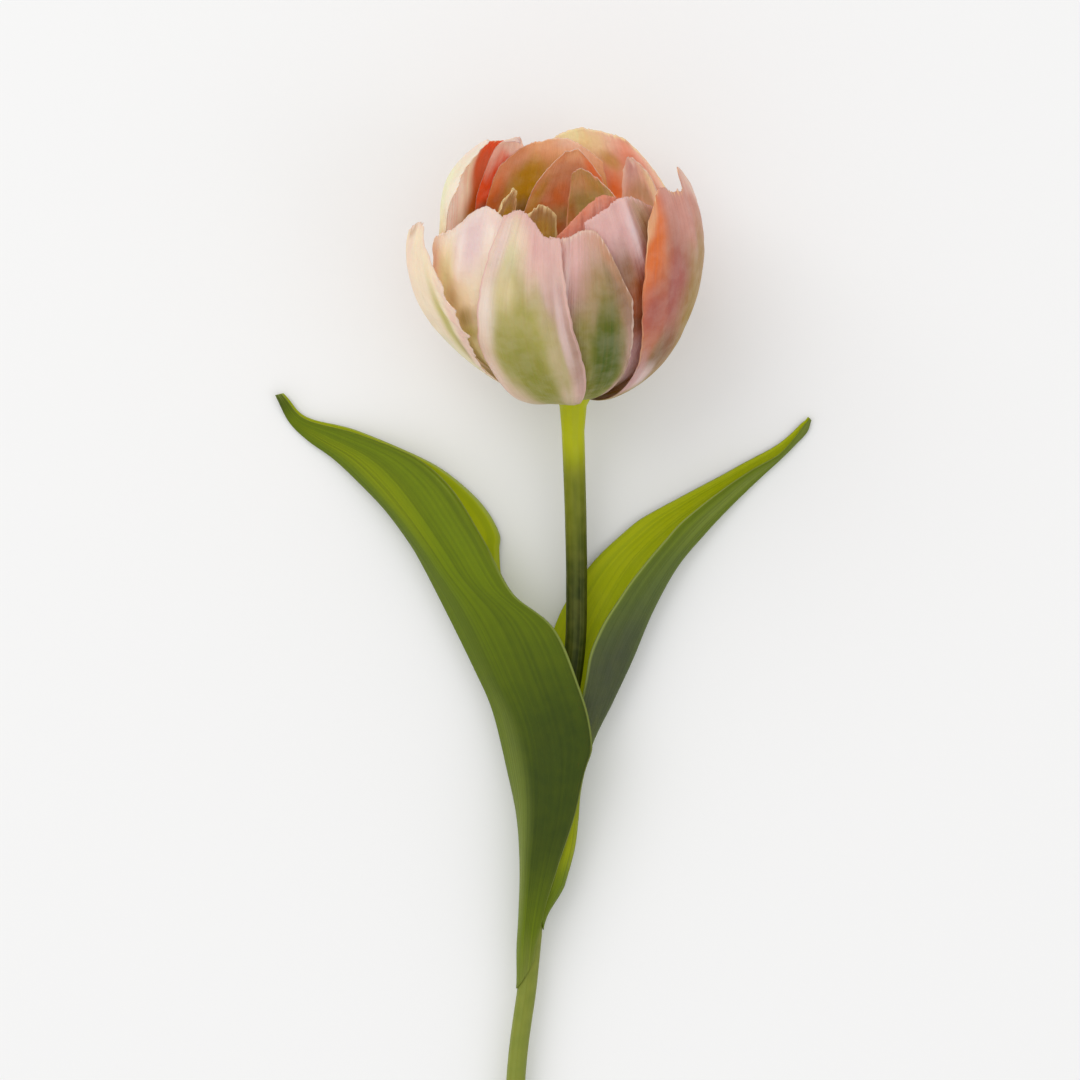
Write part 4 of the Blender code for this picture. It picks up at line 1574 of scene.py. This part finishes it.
LEAVES = (
    Leaf(
        "leaf_left",
        keel=(
            (-16.1, -162.0, 5.7), (-14.9, -149.4, 6.1), (-14.3, -139.0, 6.5), (-14.0, -128.0, 6.8),
            (-14.9, -115.5, 7.0), (-17.4, -102.7, 7.0), (-21.2, -86.7, 6.8), (-26.2, -75.2, 6.5),
            (-33.6, -60.0, 6.0), (-40.8, -46.2, 5.5), (-45.1, -39.2, 5.0), (-51.0, -31.4, 4.2),
            (-58.3, -23.8, 3.0), (-65.2, -17.4, 1.8), (-72.0, -12.6, 1.0), (-77.2, -7.6, 0.8),
            (-81.0, -0.4, 1.8),
        ),
        near=(
            (-11.0, -162.0, 8.9), (-9.6, -149.4, 9.8), (-7.4, -139.0, 10.9), (-3.9, -128.0, 11.9),
            (0.1, -115.5, 13.2), (3.3, -102.4, 14.5), (5.1, -95.5, 15.5), (2.8, -82.7, 16.5),
            (-4.7, -64.5, 17.0), (-15.6, -55.2, 17.0), (-20.9, -46.1, 16.0), (-25.7, -37.3, 14.0),
            (-32.9, -25.9, 11.0), (-42.3, -17.9, 8.0), (-59.0, -10.9, 4.0), (-73.0, -7.0, 2.0),
            (-79.4, -0.2, 2.6),
        ),
        far=(
            (-11.0, -162.0, 2.4), (-9.6, -149.4, 2.7), (-6.6, -139.0, 1.6), (-1.7, -128.0, 1.2),
            (0.9, -115.5, 1.1), (0.4, -102.7, 1.2), (-2.3, -93.0, 1.0), (-6.3, -80.0, 1.2),
            (-13.0, -64.0, 1.0), (-19.0, -52.0, 1.0), (-19.9, -42.7, 1.2), (-20.4, -37.3, 1.6),
            (-26.0, -28.8, 2.2), (-37.7, -19.5, 2.2), (-58.5, -10.2, 1.2), (-72.6, -6.4, 0.8),
            (-79.0, 0.1, 1.4),
        ),
        rounded=(0.1, 0.45),
        trough_left=False,
    ),
    Leaf(
        "leaf_right",
        keel=(
            (-6.2, -146.0, 6.2), (-2.6, -134.0, 6.6), (0.1, -124.0, 6.8), (1.1, -116.0, 6.8),
            (1.9, -107.0, 6.6), (4.9, -94.7, 6.0), (10.3, -83.5, 5.3), (15.3, -72.8, 4.6),
            (20.9, -59.2, 3.8), (27.4, -47.3, 2.8), (35.3, -38.0, 1.8), (43.1, -30.0, 1.0),
            (50.2, -23.3, 0.6), (58.4, -15.8, 0.5), (63.6, -10.6, 0.8), (65.0, -7.2, 1.2),
        ),
        near=(
            (-10.0, -146.0, 9.4), (-8.7, -134.0, 10.0), (-7.6, -124.0, 10.4), (-6.4, -116.0, 10.8),
            (-4.4, -107.0, 11.3), (-0.4, -96.0, 12.0), (3.1, -80.0, 13.0), (5.5, -68.0, 13.5),
            (12.4, -56.0, 13.5), (20.4, -45.3, 12.0), (28.7, -36.0, 9.5), (37.7, -28.5, 7.0),
            (47.1, -21.9, 4.5), (56.4, -16.5, 2.6), (63.0, -8.9, 1.6), (64.8, -6.8, 1.4),
        ),
        far=(
            (-10.0, -146.0, 3.1), (-9.0, -134.0, 3.3), (-8.4, -124.0, 3.4), (-7.9, -116.0, 3.4),
            (-7.5, -107.0, 3.4), (-7.3, -94.7, 3.4), (-6.5, -77.3, 3.0), (-5.5, -64.8, 2.6),
            (0.4, -53.3, 2.4), (7.1, -44.3, 2.2), (17.4, -35.2, 2.0), (28.0, -29.0, 1.8),
            (41.2, -22.0, 1.4), (55.2, -14.4, 1.0), (62.2, -8.4, 0.9), (64.4, -6.4, 1.0),
        ),
        rounded=(0.05, 0.35),
        trough_left=True,
        outside=RIGHT_OUTER_LEAF,
    ),
)


@dataclass
class Stalk:
    """The cut stem, with the receptacle that carries the petals.

    The path is its centre line from the cut to the neck. The cut's faces are those within its depth that look
    along the stem.
    """

    painter: Painter
    form: BloomForm = field(default_factory=BloomForm)
    path: tuple[Place, ...] = (
        (-20.2, -266.0, 2.6), (-17.6, -224.0, 3.8), (-15.3, -184.0, 5.0), (-12.5, -162.0, 5.7),
        (-11.2, -149.0, 6.1), (-10.0, -136.0, 6.5), (-7.9, -122.7, 6.8), (-5.1, -106.7, 7.1),
        (-2.0, -88.0, 7.4), (0.6, -69.3, 7.6), (1.0, -52.0, 7.8), (0.8, -36.0, 8.4), (0.4, -22.0, 10.1),
    )
    neck: float = -11.5
    radius_top: float = 3.1
    radius_cut: float = 2.6
    sides: int = 48
    points: int = 260
    dome_points: int = 44
    ridges: int = 11
    ridge: float = 0.012
    ridge_fade: int = 30
    cut_depth: float = 0.5
    cut_facing: float = 0.8

    @classmethod
    def radius_at(cls, share: Points) -> Points:
        """The stem's radius at shares of the way from its cut to its neck."""
        return cls.radius_cut + (cls.radius_top - cls.radius_cut) * share**2

    def build(self) -> None:
        """Makes the stem and dresses its skin and its cut end."""
        neck = self.form.axis_points([self.neck])
        line = spline(np.vstack([np.array(self.path) + FOOT_ON_FLOOR, neck]), self.points)
        heights, widths = np.array(self.form.receptacle).T
        rise = np.linspace(heights[0], heights[-1], self.dome_points)
        line = np.vstack([line, self.form.axis_points(rise)])
        radii = self.radius_at(np.linspace(0, 1, self.points))
        radii = np.concatenate([radii, np.interp(rise, heights, widths)])
        turn = 2 * math.pi * np.arange(self.sides) / self.sides
        fade = 1 - smooth_share(np.arange(len(line)), self.points - self.ridge_fade, self.points)
        lobes = 1 + self.ridge * fade[:, None] * (np.cos(self.ridges * turn) - 1)[None, :]
        piece = Workbench.round_body("stem_fine", line, radii, self.sides, lobes)
        Workbench.dress(piece, self.painter.blade("stem_skin", STEM_SKIN), self.painter.cut_end("stem_cut"))
        lowest = min(vertex.co.y for vertex in piece.data.vertices)
        for face in piece.data.polygons:
            if face.center.y < lowest + self.cut_depth * MM and abs(face.normal.y) > self.cut_facing:
                face.material_index = 1
                face.use_smooth = False
        Workbench.finish(piece, "stem", "stem")


@dataclass
class Foliage:
    """The two clasping leaves.

    A sheath's end slants back at its margins and hugs the stem, with a gap in millimetres. The margins wave,
    the midrib stands out, and the blade buckles. Their spans are shares of the leaf's width or length, and
    waves are counts of crests. The wall is thin at the margins, the tip and the sheath's end, and side_share
    and end_share make that band narrower there.
    """

    painter: Painter
    samples: int = 2001
    thickness: float = 0.8
    thin: float = 0.3
    thin_reach: float = 0.15
    side_share: float = 2.0
    end_share: float = 3.0
    slant: float = 0.04
    slant_reach: float = 0.2
    hug: float = 0.18
    hug_share: float = 0.07
    least_angle: float = 0.01
    wave: float = 0.15
    waves: float = 7.0
    wave_across: Span = (0.7, 1.0)
    wave_along: Span = (0.1, 0.3)
    midrib: float = 0.15
    midrib_width: float = 0.03
    midrib_along: Span = (0.2, 0.5)
    buckle: float = 0.12
    buckle_waves: Span = (4.0, 1.5)
    buckle_slope: float = 0.1
    buckle_seeds: Span = (1.0, 2.0)
    buckle_along: Span = (0.2, 0.4)

    def hugged(self, points: Points, along: Points) -> Points:
        """Draws the end of a sheath in to the stem.

        Args:
            points: the leaf's middle surface in millimetres.
            along: shares from its sheath to its tip.

        Returns:
            The points, with those near the sheath's end close to the stem's skin.
        """
        path = np.array(Stalk.path) + FOOT_ON_FLOOR
        core = np.column_stack([np.interp(points[:, 1], path[:, 1], path[:, side]) for side in (0, 2)])
        radius = Stalk.radius_at((points[:, 1] - path[0, 1]) / (path[-1, 1] - path[0, 1]))
        off = points[:, (0, 2)] - core
        distance = np.maximum(np.linalg.norm(off, axis=1), TINY)
        pull = (1 - smooth_share(along, 0.0, self.hug_share)) * ((radius + self.hug) / distance - 1)
        moved = points.copy()
        moved[:, (0, 2)] = core + off * (1 + pull)[:, None]
        return moved

    def lift(self, leaf: Leaf, across: Points, along: Points) -> Points:
        """How far a leaf's wavy margins, midrib and buckles stand out.

        Args:
            leaf: the leaf.
            across: shares across it.
            along: shares from its sheath to its tip.

        Returns:
            The rise in millimetres.
        """
        edge = smooth_share(np.abs(2 * across - 1), *self.wave_across) * smooth_share(along, *self.wave_along)
        lift = self.wave * edge * ripple(along, self.waves, seed_of(leaf.name))
        rib = np.exp(-(((across - 0.5) / self.midrib_width) ** 2))
        lift = lift - self.midrib * rib * smooth_share(along, *self.midrib_along)
        slanted = ripple(along + self.buckle_slope * across, self.buckle_waves[0], self.buckle_seeds[0])
        level = ripple(across, self.buckle_waves[1], self.buckle_seeds[1])
        return lift + self.buckle * slanted * level * smooth_share(along, *self.buckle_along)

    def surface(self, leaf: Leaf, across: Points, along: Points) -> Points:
        """A leaf's middle surface.

        Args:
            leaf: the leaf.
            across: shares across it, which start at the margin that leaves the trough behind it.
            along: shares from its sheath to its tip.

        Returns:
            The points in millimetres.
        """
        fine = np.linspace(0, 1, self.samples)
        set_back = np.abs(2 * across - 1) ** 2 * np.maximum(1 - along / self.slant_reach, 0) ** 2
        start = along + self.slant * set_back
        keel, near, far = (
            np.column_stack([np.interp(start, fine, each) for each in spline(line, self.samples).T])
            for line in (leaf.keel, leaf.near, leaf.far)
        )
        u = (1 - 2 * across if leaf.trough_left else 2 * across - 1)[:, None]
        half = (near - far) / 2
        sag = (near + far) / 2 - keel
        depth = np.linalg.norm(sag, axis=1)
        angle = np.maximum(2 * np.arctan2(depth, np.linalg.norm(half, axis=1)), self.least_angle)[:, None]
        roundness = (1 - smooth_share(start, *leaf.rounded))[:, None]
        arc = half * np.sin(u * angle) / np.sin(angle) + sag * (1 - np.cos(u * angle)) / (1 - np.cos(angle))
        fold = half * u + sag * u * u
        points = keel + roundness * arc + (1 - roundness) * fold
        out = sag / np.maximum(depth, TINY)[:, None]
        points = points + FOOT_ON_FLOOR + out * self.lift(leaf, across, along)[:, None]
        points = self.hugged(points, along)
        points[:, 2] = np.maximum(points[:, 2], self.thickness / 2)
        return points

    def build(self, leaf: Leaf) -> None:
        """Makes one leaf and dresses both its sides.

        Args:
            leaf: the leaf.
        """
        piece, across, along = Workbench.grid(f"{leaf.name}_fine", leaf.columns, leaf.rows)
        Workbench.settle(piece, self.surface(leaf, across, along))
        outside = self.painter.blade(f"{leaf.name}_outside", leaf.outside)
        inside = self.painter.blade(f"{leaf.name}_inside", leaf.inside)
        Workbench.dress(piece, outside, inside)
        side = np.minimum(across, 1 - across) * self.side_share
        near = np.minimum(np.minimum(side, 1 - along), along * self.end_share)
        weights = self.thin + (1 - self.thin) * smooth_share(near, 0.0, self.thin_reach)
        Workbench.thicken(piece, self.thickness, weights, across, along)
        Workbench.finish(piece, leaf.name, "leaf")

    def build_all(self) -> None:
        """Makes both leaves."""
        for leaf in LEAVES:
            self.build(leaf)


@dataclass
class Heart:
    """The pistil and the stamens, deep in the cup.

    A stamen is distances from the bloom's axis, heights along it and radii, and the pistil is heights and
    radii. Stigma and anther are the heights where they start and are full. Lobes are shares of the radius.
    """

    painter: Painter
    form: BloomForm = field(default_factory=BloomForm)
    points: int = 60
    stamens: int = 6
    first_azimuth: float = 15.0
    stamen: tuple[Place, ...] = (
        (2.8, 13.6, 0.45), (4.0, 18.0, 0.45), (4.8, 23.0, 0.4), (5.1, 24.5, 0.9), (5.6, 29.0, 1.05),
        (5.9, 33.0, 0.5),
    )
    stamen_sides: int = 20
    stamen_least: float = 0.2
    stamen_round: float = 0.93
    anther: Span = (23.0, 25.0)
    anther_lobes: float = 0.16
    pistil: tuple[Span, ...] = (
        (15.8, 1.3), (18.0, 2.1), (24.0, 2.3), (30.0, 1.9), (33.0, 1.7), (34.2, 2.6), (36.0, 2.7),
        (37.0, 1.2),
    )
    pistil_sides: int = 48
    pistil_least: float = 0.3
    pistil_round: float = 0.95
    stigma: Span = (32.5, 34.5)
    ovary_lobes: float = 0.04
    stigma_lobes: float = 0.22
    frill: float = 0.05
    frills: int = 12

    def build_pistil(self) -> None:
        """A three-sided ovary with a three-lobed stigma."""
        heights, widths = spline(self.pistil, self.points).T
        turn = 2 * math.pi * np.arange(self.pistil_sides) / self.pistil_sides
        stigma = smooth_share(heights, *self.stigma)
        trefoil = (self.ovary_lobes + self.stigma_lobes * stigma)[:, None] * np.cos(3 * turn)[None, :]
        frill = self.frill * stigma[:, None] * np.cos(self.frills * turn)[None, :]
        line = self.form.axis_points(heights)
        widths = np.maximum(widths, self.pistil_least)
        lobes = self.pistil_round + trefoil + frill
        piece = Workbench.round_body("pistil_fine", line, widths, self.pistil_sides, lobes)
        Workbench.dress(piece, self.painter.blade("pistil_skin", PISTIL_SKIN))
        Workbench.finish(piece, "pistil", "pistil")

    def build_stamens(self) -> None:
        """Slim filaments, each with a grooved anther."""
        out, up, thick = spline(self.stamen, self.points).T
        turn = 2 * math.pi * np.arange(self.stamen_sides) / self.stamen_sides
        grooves = (np.cos(4 * turn) * 0.5 + np.cos(2 * turn) * 0.5)[None, :]
        lobes = self.stamen_round + self.anther_lobes * smooth_share(up, *self.anther)[:, None] * grooves
        line = self.form.place(out, np.full(len(out), self.first_azimuth), up)
        thick = np.maximum(thick, self.stamen_least)
        model = Workbench.round_body("stamen_1_fine", line, thick, self.stamen_sides, lobes)
        Workbench.dress(model, self.painter.blade("stamen_skin", STAMEN_SKIN))
        foot, ahead = self.form.axis_points([0.0, 1.0])
        Workbench.finish(model, "stamen_1", "stamen")
        for number in range(2, self.stamens + 1):
            swing = math.radians(360 * (number - 1) / self.stamens)
            name = f"stamen_{number}"
            piece = Workbench.turned_copy(model, f"{name}_fine", foot, ahead - foot, swing)
            Workbench.finish(piece, name, "stamen")

    def build_all(self) -> None:
        """Makes the pistil and the stamens."""
        self.build_pistil()
        self.build_stamens()


@dataclass(frozen=True)
class Lamp:
    """A square soft light, by its place and side in metres, its power in watts and its tint."""

    name: str
    place: Place
    size: float
    power: float
    tint: Place


@dataclass
class Studio:
    """The floor, the lights and the camera, in metres, and the camera's lens and sensor in millimetres."""

    camera_place: Place = (-0.00163, 0.0575, 1.23)
    lens: float = 150.0
    sensor: float = 36.0
    floor_size: float = 12.0
    floor_drop: float = 0.0002
    floor_grey: float = 0.9
    floor_roughness: float = 0.95
    air_light: float = 0.83
    lamps: tuple[Lamp, ...] = (
        Lamp("key", (-1.5, 1.6, 2.2), 2.4, 25.0, (1.0, 0.99, 0.97)),
        Lamp("fill", (1.8, -0.8, 1.8), 1.6, 4.0, (1.0, 1.0, 1.0)),
    )

    def lay_floor(self) -> None:
        """A plain pale floor just under the height that the flower rests on."""
        Workbench.clear_selection()
        bpy.ops.mesh.primitive_plane_add(size=self.floor_size, location=(0, 0, -self.floor_drop))
        floor = bpy.context.active_object
        floor.name = "floor"
        material = bpy.data.materials.new("floor_paper")
        material.use_nodes = True
        shader = material.node_tree.nodes["Principled BSDF"]
        shader.inputs["Base Color"].default_value = (self.floor_grey, self.floor_grey, self.floor_grey, 1)
        shader.inputs["Roughness"].default_value = self.floor_roughness
        shader.inputs["Specular IOR Level"].default_value = 0.0
        Workbench.dress(floor, material)

    def hang(self, lamp: Lamp) -> None:
        """Sets up a light and aims it at the flower.

        Args:
            lamp: the light.
        """
        data = bpy.data.lights.new(lamp.name, "AREA")
        data.size = lamp.size
        data.energy = lamp.power
        data.color = lamp.tint
        light = bpy.data.objects.new(lamp.name, data)
        bpy.context.scene.collection.objects.link(light)
        light.location = lamp.place
        aim = bpy.data.objects["floor"].location - light.location
        light.rotation_euler = aim.to_track_quat("-Z", "Y").to_euler()

    def fill_air(self) -> None:
        """An even white light from everywhere, and colours shown as they are."""
        world = bpy.data.worlds.new("air")
        world.use_nodes = True
        background = world.node_tree.nodes["Background"]
        background.inputs["Color"].default_value = (1.0, 1.0, 1.0, 1.0)
        background.inputs["Strength"].default_value = self.air_light
        bpy.context.scene.world = world
        bpy.context.scene.view_settings.view_transform = "Standard"

    def set_camera(self) -> None:
        """The photograph's view, straight down on the flower."""
        data = bpy.data.cameras.new("camera")
        data.lens = self.lens
        data.sensor_width = self.sensor
        camera = bpy.data.objects.new("camera", data)
        bpy.context.scene.collection.objects.link(camera)
        camera.location = self.camera_place
        bpy.context.scene.camera = camera

    def build(self) -> None:
        """Sets up the whole studio."""
        self.lay_floor()
        for lamp in self.lamps:
            self.hang(lamp)
        self.fill_air()
        self.set_camera()


def main() -> None:
    """Builds the flower's parts in order, then the studio."""
    logging.basicConfig(level=logging.INFO, format="%(message)s")
    painter = Painter()
    Stalk(painter).build()
    Foliage(painter).build_all()
    Bloom(painter).build_all()
    Heart(painter).build_all()
    Studio().build()


if __name__ == "__main__":
    main()
